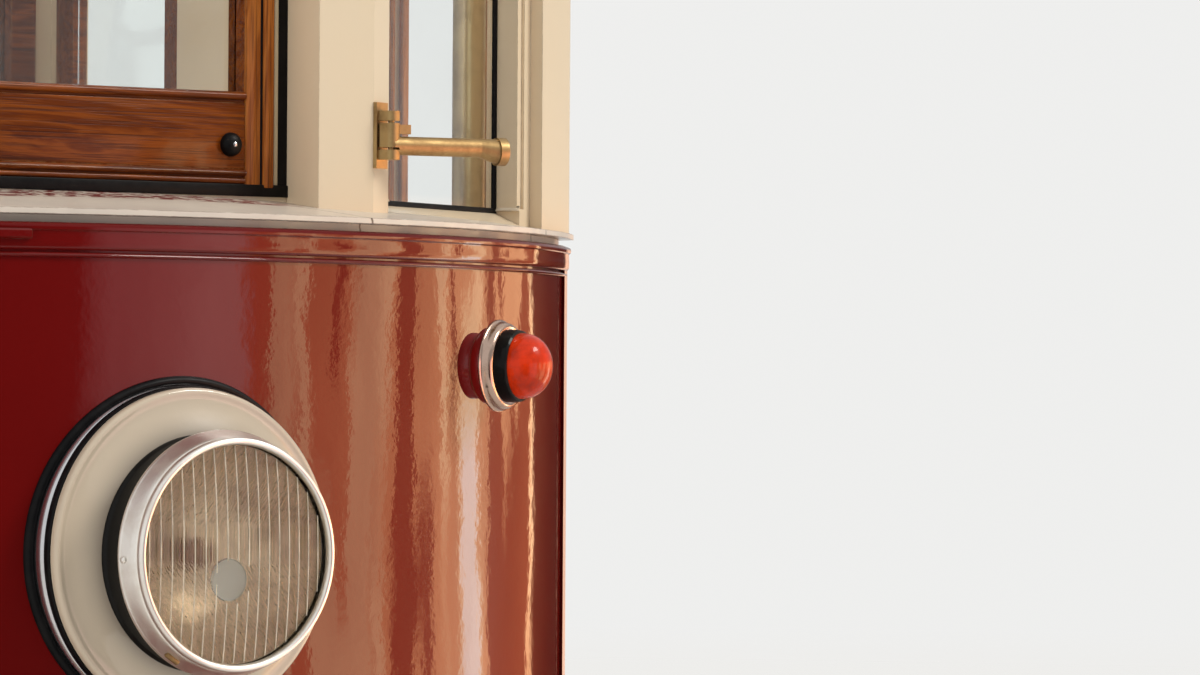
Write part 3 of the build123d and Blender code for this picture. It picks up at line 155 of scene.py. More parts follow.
class Graph:
    """A node tree under construction, with one short call for each kind of node that the finishes use."""

    def __init__(self, tree: bpy.types.NodeTree) -> None:
        """Starts from an emptied tree.

        Args:
            tree: the material's, the world's or the group's node tree.
        """
        self.tree = tree
        tree.nodes.clear()

    def node(self, kind: str, **settings: object) -> bpy.types.Node:
        """Adds a node.

        Args:
            kind: the node's type without its ShaderNode prefix.
            settings: attributes to set on it.

        Returns:
            The new node.
        """
        made = self.tree.nodes.new("ShaderNode" + kind)
        for key, value in settings.items():
            setattr(made, key, value)
        return made

    def feed(self, target: bpy.types.NodeSocket, source: Socket) -> None:
        """Links an output into an input, or sets a constant on it.

        Args:
            target: the input to fill.
            source: an output, a number or a colour.
        """
        source = source.socket if isinstance(source, Value) else source
        if isinstance(source, bpy.types.NodeSocket):
            self.tree.links.new(source, target)
        else:
            target.default_value = (*source, 1.0) if target.type == "RGBA" else source

    def fill(self, node: bpy.types.Node, sources: dict[Union[str, int], Socket]) -> bpy.types.Node:
        """Feeds a node's inputs, by their names or numbers.

        Args:
            node: the node.
            sources: what goes into each input.

        Returns:
            The node itself.
        """
        for key, source in sources.items():
            self.feed(node.inputs[key], source)
        return node

    def math(self, operation: str, a: Socket, b: Socket = 0.0) -> Value:
        """Result of one arithmetic step on two values."""
        return Value(self, self.fill(self.node("Math", operation=operation), {0: a, 1: b}).outputs[0])

    def layers(self, base: Socket, *coats: tuple[Value, Socket]) -> Value:
        """A colour under others, each one seen as far as its own mask goes.

        Args:
            base: the lowest colour.
            coats: (mask, colour) pairs, from the lowest to the highest.

        Returns:
            The mixed colour.
        """
        for mask, colour in coats:
            made = self.node("Mix", data_type="RGBA", blend_type="MIX")
            base = Value(self, self.fill(made, {0: mask, 6: base, 7: colour}).outputs[2])
        return base

    def place(self, scale: Point = (1.0, 1.0, 1.0), turn: Point = (0.0, 0.0, 0.0),
              vector: Optional[Value] = None) -> Value:
        """Object coordinates, stretched and turned.

        Args:
            scale: factors along the three axes.
            turn: angles in radians.
            vector: coordinates to start from; the object's own if left out.

        Returns:
            The mapped vector.
        """
        start = vector or self.node("TexCoord").outputs["Object"]
        made = self.fill(self.node("Mapping"), {"Scale": scale, "Rotation": turn, "Vector": start})
        return Value(self, made.outputs["Vector"])

    def axes(self, vector: Socket) -> list[Value]:
        """The three parts of a vector."""
        return [Value(self, part) for part in self.fill(self.node("SeparateXYZ"), {0: vector}).outputs]

    def noise(self, vector: Socket, scale: float, detail: float = 3.0, roughness: float = 0.55,
              distortion: float = 0.0) -> Value:
        """Noise value between 0 and 1, near 0.5 on average."""
        made = self.fill(self.node("TexNoise"), {"Vector": vector, "Scale": scale, "Detail": detail,
                                                 "Roughness": roughness, "Distortion": distortion})
        return Value(self, made.outputs[0])

    def bump(self, height: Socket, distance: float, strength: float = 1.0, normal: Optional[Value] = None) -> Value:
        """Normal of a surface that is raised by a height.

        Args:
            height: the height.
            distance: metres for a height of 1.
            strength: how much of it shows.
            normal: the normal to start from; the mesh's own if left out.

        Returns:
            The raised normal.
        """
        made = self.fill(self.node("Bump"), {"Strength": strength, "Distance": distance, "Height": height})
        if normal is not None:
            self.feed(made.inputs["Normal"], normal)
        return Value(self, made.outputs["Normal"])

    def mix(self, factor: Socket, first: bpy.types.Node, second: bpy.types.Node) -> bpy.types.NodeSocket:
        """Two shaders mixed."""
        return self.fill(self.node("MixShader"), {0: factor, 1: first.outputs[0], 2: second.outputs[0]}).outputs[0]

    def shade(self, **sources: Socket) -> None:
        """Puts out a principled shader.

        Args:
            sources: what goes into its inputs, by their names in small letters with underscores.
        """
        shader = self.node("BsdfPrincipled")
        self.feed(self.node("OutputMaterial").inputs["Surface"], shader.outputs["BSDF"])
        inputs = {socket.name.lower().replace(" ", "_"): socket for socket in shader.inputs}
        for name, source in sources.items():
            self.feed(inputs[name], source)


def new_material(name: str) -> tuple[bpy.types.Material, Graph]:
    """Makes a material with nodes.

    Args:
        name: its name.

    Returns:
        The material and its empty graph.
    """
    made = bpy.data.materials.new(name)
    made.use_nodes = True
    return made, Graph(made.node_tree)


@dataclass(frozen=True)
class Effect:
    """An effect that several finishes share, kept as one shader node group."""

    name: str
    inputs: tuple[tuple[str, float], ...]
    outputs: tuple[str, ...]
    recipe: Callable[[Graph, Values], Values]

    def group(self) -> bpy.types.NodeTree:
        """Finds the effect's node group, or builds it at its first use.

        Returns:
            The node group.
        """
        if self.name in bpy.data.node_groups:
            return bpy.data.node_groups[self.name]
        tree = bpy.data.node_groups.new(self.name, "ShaderNodeTree")
        tree.interface.new_socket("Vector", in_out="INPUT", socket_type="NodeSocketVector")
        for name, value in self.inputs:
            made = tree.interface.new_socket(name, in_out="INPUT", socket_type="NodeSocketFloat")
            made.default_value = value
        for name in self.outputs:
            kind = "NodeSocketVector" if name.endswith("Normal") else "NodeSocketFloat"
            tree.interface.new_socket(name, in_out="OUTPUT", socket_type=kind)
        graph = Graph(tree)
        given = tree.nodes.new("NodeGroupInput")
        out = tree.nodes.new("NodeGroupOutput")
        graph.fill(out, self.recipe(graph, {s.name: Value(graph, s) for s in given.outputs if s.name}))
        return tree

    def use(self, graph: Graph, vector: Value, **values: float) -> Values:
        """Places the effect in a material.

        Args:
            graph: the material's graph.
            vector: coordinates that the effect follows.
            values: numbers for the group's inputs.

        Returns:
            The group's outputs by name.
        """
        made = graph.fill(graph.node("Group", node_tree=self.group()), {"Vector": vector, **values})
        return {name: Value(graph, made.outputs[name]) for name in self.outputs}


def edge_recipe(graph: Graph, given: Values) -> Values:
    """Worn edges: how far the rounded normal leaves the flat one, broken up by noise.

    Args:
        graph: the group's graph.
        given: its inputs by name.

    Returns:
        The mask, and the rounded normal.
    """
    bevel = graph.fill(graph.node("Bevel", samples=4), {"Radius": given["Radius"]}).outputs["Normal"]
    flat = graph.node("NewGeometry").outputs["Normal"]
    dot = graph.fill(graph.node("VectorMath", operation="DOT_PRODUCT"), {0: bevel, 1: flat})
    turned = (1.0 - Value(graph, dot.outputs["Value"])).clamped()
    mask = turned * graph.noise(given["Vector"], 38.0, 5.0, 0.65).span(0.42, 0.62, 0.0, 9.0)
    return {"Mask": (mask * given["Amount"]).clamped(), "Rounded Normal": Value(graph, bevel)}


def dirt_recipe(graph: Graph, given: Values) -> Values:
    """Street dust: thick near the ground and on ledges, streaked down upright faces.

    Args:
        graph: the group's graph.
        given: its inputs by name.

    Returns:
        The mask.
    """
    height, rise = (graph.axes(vector)[2] for vector in
                    (given["Vector"], graph.node("NewGeometry").outputs["Normal"]))
    low = ((given["Top"] - height) / given["Top"]).clamped()
    streaks = graph.noise(graph.place((9.0, 9.0, 0.9), vector=given["Vector"]), 1.0, 5.0, 0.6)
    cloud = graph.noise(given["Vector"], 4.5, 6.0, 0.62)
    thick = low * streaks.span(0.3, 0.75, 0.25, 1.5) + rise.span(0.35, 0.95) * cloud.span(0.4, 0.7, 0.1, 0.7)
    return {"Mask": (thick * given["Amount"]).clamped()}


def scratch_recipe(graph: Graph, given: Values) -> Values:
    """Thin random scratches in two directions.

    Args:
        graph: the group's graph.
        given: its inputs by name.

    Returns:
        The mask.
    """
    lines = [graph.noise(graph.place((2.0, 160.0, 2.0), turn, given["Vector"]), 1.6, 2.0, 0.5)
             for turn in ((0.3, 0.9, 0.5), (1.9, 0.4, 2.2))]
    found = graph.math("MAXIMUM", *(abs(line - 0.5).span(0.0, 0.012, 1.0, 0.0) for line in lines))
    patch = graph.noise(given["Vector"], 14.0, 2.0).span(0.5, 0.62)
    return {"Mask": (found * patch * given["Amount"]).clamped()}


def grain_recipe(graph: Graph, given: Values) -> Values:
    """Wood figure along the vector's X axis.

    Args:
        graph: the group's graph.
        given: its inputs by name.

    Returns:
        The broad bands, and the pores.
    """
    figure = graph.noise(graph.place((0.9, 11.0, 11.0), vector=given["Vector"]), 1.6, 5.0, 0.6, 0.9)
    pores = graph.noise(graph.place((7.0, 420.0, 420.0), vector=given["Vector"]), 1.0, 2.0, 0.5)
    return {"Figure": abs((figure * 7.0).fract() - 0.5).span(0.05, 0.45), "Pores": pores.span(0.34, 0.5, 1.0, 0.0)}


EDGE = Effect("edge_wear", (("Radius", 0.002), ("Amount", 1.0)), ("Mask", "Rounded Normal"), edge_recipe)
DIRT = Effect("street_dust", (("Top", 1.0), ("Amount", 1.0)), ("Mask",), dirt_recipe)
SCRATCH = Effect("scratches", (("Amount", 1.0),), ("Mask",), scratch_recipe)
GRAIN = Effect("wood_grain", (), ("Figure", "Pores"), grain_recipe)

DUST: Colour = (0.30, 0.25, 0.20)
RUST: Colour = (0.16, 0.055, 0.02)
PORE: Colour = (0.02, 0.007, 0.004)
# painted shade colour: the grey darkening round the headlight's neck
PAINTED_NECK_SHADE: Colour = (0.10, 0.09, 0.085)
GLASS_IOR = 1.45


@dataclass(frozen=True)
class Finish:
    """A finish that covers pieces, made as one material at its first use."""

    name: str

    def material(self) -> bpy.types.Material:
        """Finds the finish's material, or makes it at its first use.

        Returns:
            The material.
        """
        if self.name in bpy.data.materials:
            return bpy.data.materials[self.name]
        made, graph = new_material(self.name)
        self.dress(graph)
        return made

    def dress(self, graph: Graph) -> None:
        """Feeds the shader; each kind of finish has its own way.

        Args:
            graph: the material's graph.
        """
        raise NotImplementedError


@dataclass(frozen=True)
class Paint(Finish):
    """Brushed coach enamel with orange peel, soft fading, chipped edges and street dust."""

    colour: Colour
    faded: Colour
    under: Colour = (0.25, 0.2, 0.16)
    gloss: float = 0.22
    coat: float = 1.0
    coat_ior: float = 1.5
    specular: float = 0.15
    peel: float = 0.00013
    chips: float = 0.6
    dust_top: float = 1.3
    dust: float = 0.5

    def dress(self, graph: Graph) -> None:
        """Enamel colour under a clear gloss, dulled where it is dusty."""
        place = graph.place()
        dirt = DIRT.use(graph, place, Top=self.dust_top, Amount=self.dust)["Mask"]
        edge = EDGE.use(graph, place, Radius=0.0018, Amount=self.chips)
        chips = edge["Mask"]
        scratch = SCRATCH.use(graph, place, Amount=0.25)["Mask"]
        fade = graph.noise(graph.place((1.0, 1.0, 0.35)), 2.2, 6.0, 0.6).span(0.35, 0.7)
        colour = graph.layers(self.colour, (fade, self.faded), (scratch * 0.5, self.faded), (chips, self.under),
                              (dirt * 0.8, DUST))
        height = graph.noise(place, 95.0, 2.0, 0.5) + graph.noise(place, 9.0, 2.0, 0.5) * 7.0
        graph.shade(base_color=self.marked(graph, place, colour),
                    roughness=(self.gloss + dirt * 0.55 + chips * 0.3).clamped(),
                    coat_weight=(self.coat - (dirt + chips)).clamped(), coat_roughness=0.03, coat_ior=self.coat_ior,
                    specular_ior_level=self.specular, coat_normal=graph.bump(height, self.peel),
                    normal=graph.bump(height - chips * 1.2, self.peel, normal=edge["Rounded Normal"]))

    def marked(self, graph: Graph, place: Value, colour: Value) -> Value:
        """Adds this finish's own marks; plain enamel has none.

        Args:
            graph: the material's graph.
            place: object coordinates.
            colour: the enamel's colour.

        Returns:
            The marked colour.
        """
        return colour


@dataclass(frozen=True)
class SillPaint(Paint):
    """White enamel on the dash's sill, with open joints across it and paint worn to the red beneath."""

    centre_y: float = -3.5
    joints: tuple[float, ...] = (14.5, 38.0)
    joint_width: float = 0.08
    joint_colour: Colour = (0.035, 0.024, 0.018)
    worn: Colour = (0.20, 0.035, 0.03)

    def marked(self, graph: Graph, place: Value, colour: Value) -> Value:
        """Dark joints at angles round the dash, and worn patches by the window."""
        x, y, _ = graph.axes(place)
        across, along = abs(x), abs(y) + self.centre_y
        angle = graph.math("ARCTAN2", across, along) * (180.0 / math.pi)
        shaky = angle + graph.noise(place, 60.0, 3.0).span(0.3, 0.7, -0.10, 0.10)
        lines = [abs(shaky - joint).span(self.joint_width * 0.5, self.joint_width * 1.6, 0.85, 0.0)
                 for joint in self.joints]
        patch = along.span(1.035, 1.050, 1.0, 0.0) * across.span(0.22, 0.30, 1.0, 0.0)
        patch = patch * graph.noise(place, 55.0, 6.0, 0.7).span(0.47, 0.52)
        return graph.layers(colour, *((line, self.joint_colour) for line in lines), (patch, self.worn))


@dataclass(frozen=True)
class PlateEnamel(Paint):
    """Cream enamel on the headlight's plate, with painted shade darkening it round the neck."""

    axis_z: float = 1.18
    neck: float = 0.139
    clear: float = 0.176

    def marked(self, graph: Graph, place: Value, colour: Value) -> Value:
        """Painted shade that thins away from the neck."""
        x, _, z = graph.axes(place)
        # painted shade: grey laid on the plate round the neck, where shade falls in the crease
        soot_and_painted_shade = x.hypot(z - self.axis_z).span(self.neck, self.clear, 0.85, 0.0)
        return graph.layers(colour, (soot_and_painted_shade * soot_and_painted_shade, PAINTED_NECK_SHADE))


@dataclass(frozen=True)
class Varnish(Finish):
    """Hardwood under thick glossy varnish, with its grain along one axis."""

    light: Colour = (0.30, 0.072, 0.007)
    dark: Colour = (0.095, 0.015, 0.0012)
    turn: Point = (0.0, 0.0, 0.0)
    bare: Colour = (0.42, 0.22, 0.09)
    gloss: float = 0.25
    coat: float = 0.16

    def dress(self, graph: Graph) -> None:
        """Figure and pores under a clear coat, bare where hands and water wear it."""
        place = graph.place(turn=self.turn)
        grain = GRAIN.use(graph, place)
        edge = EDGE.use(graph, place, Radius=0.0025, Amount=0.5)
        broad = graph.noise(graph.place((0.5, 3.0, 3.0), self.turn), 2.0, 3.0).span(0.3, 0.7)
        colour = graph.layers(self.light, (grain["Figure"] * 0.75, self.dark), (broad * 0.5, self.dark),
                              (grain["Pores"] * 0.55, PORE), (edge["Mask"], self.bare))
        height = grain["Figure"] * 0.25 - grain["Pores"]
        graph.shade(base_color=colour, roughness=grain["Pores"].span(0.0, 1.0, self.gloss, self.gloss + 0.2),
                    coat_weight=(self.coat - edge["Mask"]).clamped(), coat_roughness=0.05, specular_ior_level=0.05,
                    normal=graph.bump(height, 0.0003, normal=edge["Rounded Normal"]))


@dataclass(frozen=True)
class Metal(Finish):
    """Bare or plated metal with fine scratches and tarnish."""

    colour: Colour = (0.62, 0.62, 0.64)
    tarnish: Colour = (0.30, 0.28, 0.26)
    rough: float = 0.14
    tarnished: float = 0.4
    pitted: float = 0.00006

    def dress(self, graph: Graph) -> None:
        """Metal that clouds over in patches."""
        place = graph.place()
        scratch = SCRATCH.use(graph, place, Amount=0.6)["Mask"]
        cloud = graph.noise(place, 24.0, 6.0, 0.65).span(0.45, 0.75, 0.0, self.tarnished)
        graph.shade(base_color=graph.layers(self.colour, (cloud, self.tarnish)), metallic=1.0,
                    roughness=self.rough + cloud * 0.35 + scratch * 0.2,
                    normal=graph.bump(graph.noise(place, 130.0, 3.0) - scratch * 0.4, self.pitted))


@dataclass(frozen=True)
class Steel(Finish):
    """Forged, cast or painted steel under oil, brake dust and rust."""

    colour: Colour = (0.045, 0.042, 0.04)
    rusted: float = 0.5
    rough: float = 0.55
    cast: float = 0.0009
    rubbed: Colour = (0.2, 0.16, 0.13)
    grime: Colour = (0.14, 0.11, 0.085)

    def dress(self, graph: Graph) -> None:
        """Dark skin that turns to rust and dust in clouds and along edges."""
        place = graph.place()
        dirt = DIRT.use(graph, place, Top=1.1, Amount=0.45)["Mask"]
        edge = EDGE.use(graph, place, Radius=0.003, Amount=0.7)
        patch = graph.noise(place, 7.0, 8.0, 0.7).span(0.46, 0.62, 0.0, self.rusted)
        colour = graph.layers(self.colour, (patch, RUST), (edge["Mask"] * 0.6, self.rubbed), (dirt * 0.7, self.grime))
        grit = graph.noise(place, 160.0, 4.0, 0.7) + patch * 1.2
        graph.shade(base_color=colour, metallic=0.25, roughness=self.rough + patch * 0.3 + dirt * 0.2,
                    normal=graph.bump(grit, self.cast, 0.6, edge["Rounded Normal"]))


@dataclass(frozen=True)
class WheelSteel(Finish):
    """Wheel discs in rusty oil, with the tread and flange polished by the rail."""

    axle_y: float = 1.5
    axle_z: float = 0.412
    tread: float = 0.39

    def dress(self, graph: Graph) -> None:
        """Bright steel past the tread's radius, brown dust inside it."""
        place = graph.place()
        _, y, z = graph.axes(place)
        radius = (abs(y) - self.axle_y).hypot(z - self.axle_z)
        ragged = radius + graph.noise(place, 40.0, 3.0) * 0.006
        bright = ragged.span(self.tread - 0.004, self.tread + 0.002)
        cloud = graph.noise(place, 9.0, 7.0, 0.68)
        skin = graph.layers((0.075, 0.05, 0.036), (cloud.span(0.4, 0.65), (0.2, 0.105, 0.055)))
        steel = graph.layers((0.5, 0.49, 0.48), (cloud.span(0.4, 0.6), (0.36, 0.33, 0.31)))
        grit = graph.noise(place, 150.0, 4.0, 0.7) * bright.span(0.0, 1.0, 1.0, 0.1)
        graph.shade(base_color=graph.layers(skin, (bright, steel)), metallic=bright.span(0.0, 1.0, 0.1, 1.0),
                    roughness=bright.span(0.0, 1.0, 0.8, 0.24), normal=graph.bump(grit, 0.0009, 0.6))


@dataclass(frozen=True)
class Rubber(Finish):
    """Black rubber with a greying bloom."""

    fresh: Colour = (0.003, 0.003, 0.0035)
    bloom: Colour = (0.010, 0.009, 0.009)

    def dress(self, graph: Graph) -> None:
        """Near-black, dull and slightly cloudy."""
        place = graph.place()
        cloud = graph.noise(place, 30.0, 6.0, 0.65).span(0.45, 0.75)
        graph.shade(base_color=graph.layers(self.fresh, (cloud, self.bloom)),
                    roughness=cloud.span(0.0, 1.0, 0.38, 0.62), specular_ior_level=0.12,
                    normal=graph.bump(graph.noise(place, 220.0, 3.0), 0.0002))


@dataclass(frozen=True)
class Glass(Finish):
    """Clear sheet or pressed glass with a faint film of dust."""

    tint: Colour = (0.93, 0.96, 0.95)
    dusty: Colour = (0.8, 0.8, 0.78)
    film: float = 0.05

    def dress(self, graph: Graph) -> None:
        """Transmission with a little roughness where the film lies."""
        place = graph.place()
        cloud = graph.noise(place, 5.0, 7.0, 0.65).span(0.4, 0.8)
        graph.shade(base_color=graph.layers(self.tint, (cloud * 0.2, self.dusty)), transmission_weight=1.0,
                    ior=GLASS_IOR, roughness=cloud.span(0.0, 1.0, 0.0, self.film),
                    normal=graph.bump(graph.noise(place, 2.5, 2.0), 0.0012))


@dataclass(frozen=True)
class PressedGlass(Finish):
    """Headlight glass: a slanting stipple, upright grain across its middle and one hazy round eye."""

    middle: float = 1.193
    eye: tuple[float, float] = (0.006, 1.150)
    eye_radius: float = 0.0250
    eye_tint: Colour = (0.78, 0.90, 1.0)
    slope: tuple[float, float] = (0.81, 0.58)
    strokes: tuple[float, float] = (310.0, 100.0)
    relief: float = 0.0012

    def dress(self, graph: Graph) -> None:
        """Transmission, clouded in the eye, with a painted highlight of white tint on its rim."""
        place = graph.place()
        x, y, z = graph.axes(place)
        across = x * graph.math("SIGN", y)
        away = (across - self.eye[0]).hypot(z - self.eye[1])
        eye = away.span(self.eye_radius - 0.0006, self.eye_radius + 0.0006, 1.0, 0.0)
        # painted highlight: white tint in a thin ring round the eye
        rim = abs(away - self.eye_radius).span(0.0, 0.0014, 1.0, 0.0)
        level = abs(z - self.middle)
        clear = level.span(0.018, 0.026, 1.0, 0.0)
        steep, flat = self.slope
        flow = graph.fill(graph.node("CombineXYZ"), {
            "X": (across * steep + level * flat) * self.strokes[0],
            "Z": (level * steep - across * flat) * self.strokes[1]}).outputs[0]
        slant = graph.noise(flow, 1.0, 2.0, 0.5, 0.3)
        slant = slant + clear * (graph.noise(graph.place((260.0, 260.0, 5.0)), 1.0, 2.0, 0.5) - slant)
        patch = graph.noise(place, 14.0, 3.0).span(0.42, 0.62)
        tint = graph.layers((0.88, 0.81, 0.70), (patch, (0.72, 0.66, 0.58)),
                            (slant.span(0.54, 0.66, 0.0, 0.6), (0.55, 0.50, 0.43)), (rim, (1.0, 1.0, 1.0)),
                            (eye, self.eye_tint))
        graph.shade(base_color=tint, transmission_weight=1.0, ior=GLASS_IOR, roughness=0.10 + eye * 0.34,
                    normal=graph.bump(rim * 0.5 + slant * (1.0 - eye), self.relief))


@dataclass(frozen=True)
class Lens(Finish):
    """Moulded lens coloured through; on the headlight's glass ribs its pale opaque colour is a painted highlight."""

    colour: Colour = (0.78, 0.040, 0.004)

    def dress(self, graph: Graph) -> None:
        """Bright plastic under a clear gloss, deeper where it is thick."""
        place = graph.place()
        cloud = graph.noise(place, 45.0, 4.0, 0.6)
        deep = tuple(c * 0.55 for c in self.colour)
        graph.shade(base_color=graph.layers(self.colour, (cloud.span(0.35, 0.7), deep)), specular_ior_level=0.05,
                    coat_weight=0.35, coat_roughness=0.02, roughness=cloud.span(0.3, 0.7, 0.18, 0.3),
                    normal=graph.bump(graph.noise(place, 60.0, 2.0), 0.0002))


@dataclass(frozen=True)
class Canvas(Finish):
    """Painted roof canvas with its weave, patched grey paint and soot."""

    colour: Colour = (0.24, 0.235, 0.225)
    sooty: Colour = (0.095, 0.09, 0.085)

    def dress(self, graph: Graph) -> None:
        """Matt grey paint over a fine cross weave."""
        soot_and_painted_shade = graph.noise(graph.place((1.0, 0.25, 1.0)), 3.0, 7.0, 0.65).span(0.4, 0.75)
        dirt = DIRT.use(graph, graph.place(), Top=1.0, Amount=0.35)["Mask"]
        weft, warp = (graph.noise(graph.place(scale), 1.0, 2.0)
                      for scale in ((30.0, 420.0, 30.0), (420.0, 30.0, 30.0)))
        graph.shade(base_color=graph.layers(self.colour, (soot_and_painted_shade, self.sooty), (dirt, DUST)),
                    roughness=soot_and_painted_shade.span(0.0, 1.0, 0.6, 0.85), normal=graph.bump(weft + warp, 0.0006))


@dataclass(frozen=True)
class Boards(Finish):
    """Foot-worn or weathered boards, with grain along one axis and seams between them."""

    light: Colour = (0.30, 0.22, 0.15)
    dark: Colour = (0.13, 0.09, 0.06)
    turn: Point = (0.0, 0.0, math.pi / 2)
    board: float = 0.09
    dusty: float = 0.8
    seam: Colour = (0.02, 0.016, 0.012)

    def dress(self, graph: Graph) -> None:
        """Grey-brown wood with dark joints across the grain."""
        place = graph.place(turn=self.turn)
        grain = GRAIN.use(graph, place)
        joint = abs((graph.axes(place)[1] / self.board).fract() - 0.5).span(0.47, 0.49)
        dirt = DIRT.use(graph, graph.place(), Top=1.2, Amount=self.dusty)["Mask"]
        colour = graph.layers(self.light, (grain["Figure"], self.dark), (grain["Pores"] * 0.5, self.dark),
                              (dirt * 0.6, DUST), (joint, self.seam))
        graph.shade(base_color=colour, roughness=0.72,
                    normal=graph.bump(grain["Figure"] * 0.5 - joint * 3.0, 0.0008))


RED = Paint("red_enamel", colour=(0.120, 0.0012, 0.0010), faded=(0.140, 0.0018, 0.0015),
            under=(0.10, 0.03, 0.02), gloss=0.30, coat=0.9, coat_ior=1.34, specular=0.05, dust_top=1.0, dust=0.03)
CREAM = Paint("cream_enamel", colour=(0.80, 0.645, 0.445), faded=(0.76, 0.635, 0.47), under=(0.34, 0.24, 0.15),
              gloss=0.35, coat=0.5, chips=0.4, dust=0.35)
WHITE = SillPaint("white_sill_enamel", colour=(0.79, 0.69, 0.58), faded=(0.62, 0.55, 0.48), under=(0.2, 0.1, 0.07),
                  gloss=0.45, coat=0.4, chips=0.8)
BUMPER = Paint("bumper_enamel", colour=(0.72, 0.60, 0.38), faded=(0.60, 0.50, 0.34), under=(0.07, 0.05, 0.04),
               gloss=0.42, coat=0.4, chips=1.2, dust=0.9)
DOOR = Paint("door_enamel", colour=(0.80, 0.625, 0.40), faded=(0.76, 0.61, 0.43), under=(0.30, 0.2, 0.12),
             gloss=0.35, coat=0.7, dust=0.5)
PLATE = PlateEnamel("lamp_plate_enamel", colour=(0.64, 0.52, 0.38), faded=(0.57, 0.48, 0.37), under=(0.3, 0.25, 0.2),
                    gloss=0.25, chips=0.2, dust=0.1)
CUP = Paint("marker_cup_enamel", colour=(0.20, 0.005, 0.004), faded=(0.25, 0.008, 0.006), gloss=0.3, coat=0.6,
            chips=0.1, dust=0.1)
WOOD = Varnish("varnished_mahogany")
WOOD_UP = Varnish("varnished_mahogany_upright", light=(0.56, 0.185, 0.033), dark=(0.25, 0.062, 0.009),
                  turn=(0.0, math.pi / 2, 0.0))
CHROME = Metal("chrome_plate", tarnished=0.2, rough=0.1)
BRASS = Metal("old_brass", colour=(0.42, 0.285, 0.125), tarnish=(0.22, 0.13, 0.06), rough=0.40, tarnished=0.8,
              pitted=0.0002)
POLE = Metal("pole_brass", colour=(0.70, 0.56, 0.32), tarnish=(0.48, 0.36, 0.2), rough=0.3, tarnished=0.7)
BLACK_STEEL = Steel("black_steel_paint")
UNDERFRAME = Steel("underframe_steel", colour=(0.05, 0.046, 0.042), rusted=0.65)
CAST = Steel("cast_steel_skin", colour=(0.06, 0.055, 0.05), rusted=0.7, cast=0.0016)
COLLECTOR = Steel("collector_steel", colour=(0.12, 0.12, 0.12), rusted=0.3, cast=0.0004)
LAMP_DRUM = Paint("lamp_drum_black", colour=(0.0035, 0.0035, 0.004), faded=(0.007, 0.0065, 0.006),
                  under=(0.03, 0.025, 0.02), gloss=0.35, coat=0.15, specular=0.05, chips=0.15, dust=0.03)
WHEEL = WheelSteel("wheel_steel_worn")
RUBBER = Rubber("black_rubber")
SHEET_GLASS = Glass("sheet_glass")
# painted highlight: the glass ribs are opaque and pale, so that they read as bright lines
FLUTE_HIGHLIGHT = Lens("lamp_glass_flutes", colour=(0.78, 0.69, 0.55))
LAMP_GLASS = PressedGlass("pressed_lamp_glass")
SIGNAL = Lens("signal_lens")
ROOF = Canvas("roof_canvas")
BOWL = Metal("lamp_bowl_silver", colour=(0.86, 0.78, 0.64), tarnish=(0.60, 0.49, 0.36), rough=0.48, tarnished=0.9)
ROOF_METAL = Steel("roof_grey_metal", colour=(0.17, 0.17, 0.165), rusted=0.35, cast=0.0004)
OPAL = Paint("opal_glass", colour=(0.88, 0.86, 0.80), faded=(0.84, 0.81, 0.74), gloss=0.25, chips=0.0, dust=0.05)
BULB = Glass("bulb_glass", tint=(0.60, 0.50, 0.38))
NICKEL = Metal("bezel_nickel", colour=(0.90, 0.86, 0.80), tarnish=(0.66, 0.57, 0.47), rough=0.34, tarnished=0.5)
# painted reflection: the chrome ring's copper-brown colour stands for the red dash mirrored in it
RING_PAINTED_REFLECTION = Metal("worn_copper_plate", colour=(0.50, 0.36, 0.29), tarnish=(0.30, 0.18, 0.12), rough=0.16,
                   tarnished=0.6)
PUTTY = Paint("putty_paint", colour=(0.62, 0.52, 0.34), faded=(0.5, 0.42, 0.28), gloss=0.5, coat=0.2, dust=0.2)
# painted shade: a near-black finish for strips that stand in for shadow in gaps
SHADOW_GAP = Rubber("dark_seam")
FLOOR_BOARDS = Boards("floor_boards")
STEP_BOARDS = Boards("step_boards", light=(0.24, 0.18, 0.12), dark=(0.09, 0.06, 0.04), turn=(0.0, 0.0, 0.0))
ROOF_BOARDS = Boards("roof_boards", light=(0.24, 0.23, 0.21), dark=(0.12, 0.11, 0.10))
BENCH = Varnish("bench_slats", light=(0.46, 0.19, 0.06), dark=(0.2, 0.07, 0.02), turn=(0.0, 0.0, math.pi / 2))
TRACK = Metal("door_track_brass", colour=(0.5, 0.4, 0.24), tarnish=(0.2, 0.16, 0.1), rough=0.4, tarnished=0.8)

SLOT_FINISH: dict[str, Finish] = {
    "red_panels": RED, "cream_frames": CREAM, "sill": WHITE, "varnished_wood": WOOD, "glass": SHEET_GLASS,
    "door_track": TRACK, "roof": ROOF, "roof_planks": ROOF_BOARDS, "collector": COLLECTOR, "benches": BENCH,
    "controllers": BLACK_STEEL, "brass": BRASS, "poles": POLE, "rubber": RUBBER, "lamp_plate": PLATE,
    "lamp_drum": LAMP_DRUM, "chrome": CHROME, "lamp_glass": LAMP_GLASS, "marker_cup": CUP,
    "marker_lens": SIGNAL, "bumper": BUMPER, "black_steel": BLACK_STEEL, "step_wood": STEP_BOARDS,
    "cast_steel": CAST, "wheel_steel": WHEEL, "door_paint": DOOR, "underframe": UNDERFRAME,
    "saloon_floor": FLOOR_BOARDS, "platform_floors": FLOOR_BOARDS,
}


# Shapes and pieces

SHARP = math.radians(30.0)
BEAD_SMOOTH = 60.0
GLASS_SMOOTH = 75.0
UP = Vector((0.0, 0.0, 1.0))
AHEAD = Vector((0.0, 1.0, 0.0))


def spread(low: float, high: float, count: int) -> list[float]:
    """Evenly spaced values, with both ends."""
    return [low + (high - low) * index / (count - 1) for index in range(count)]


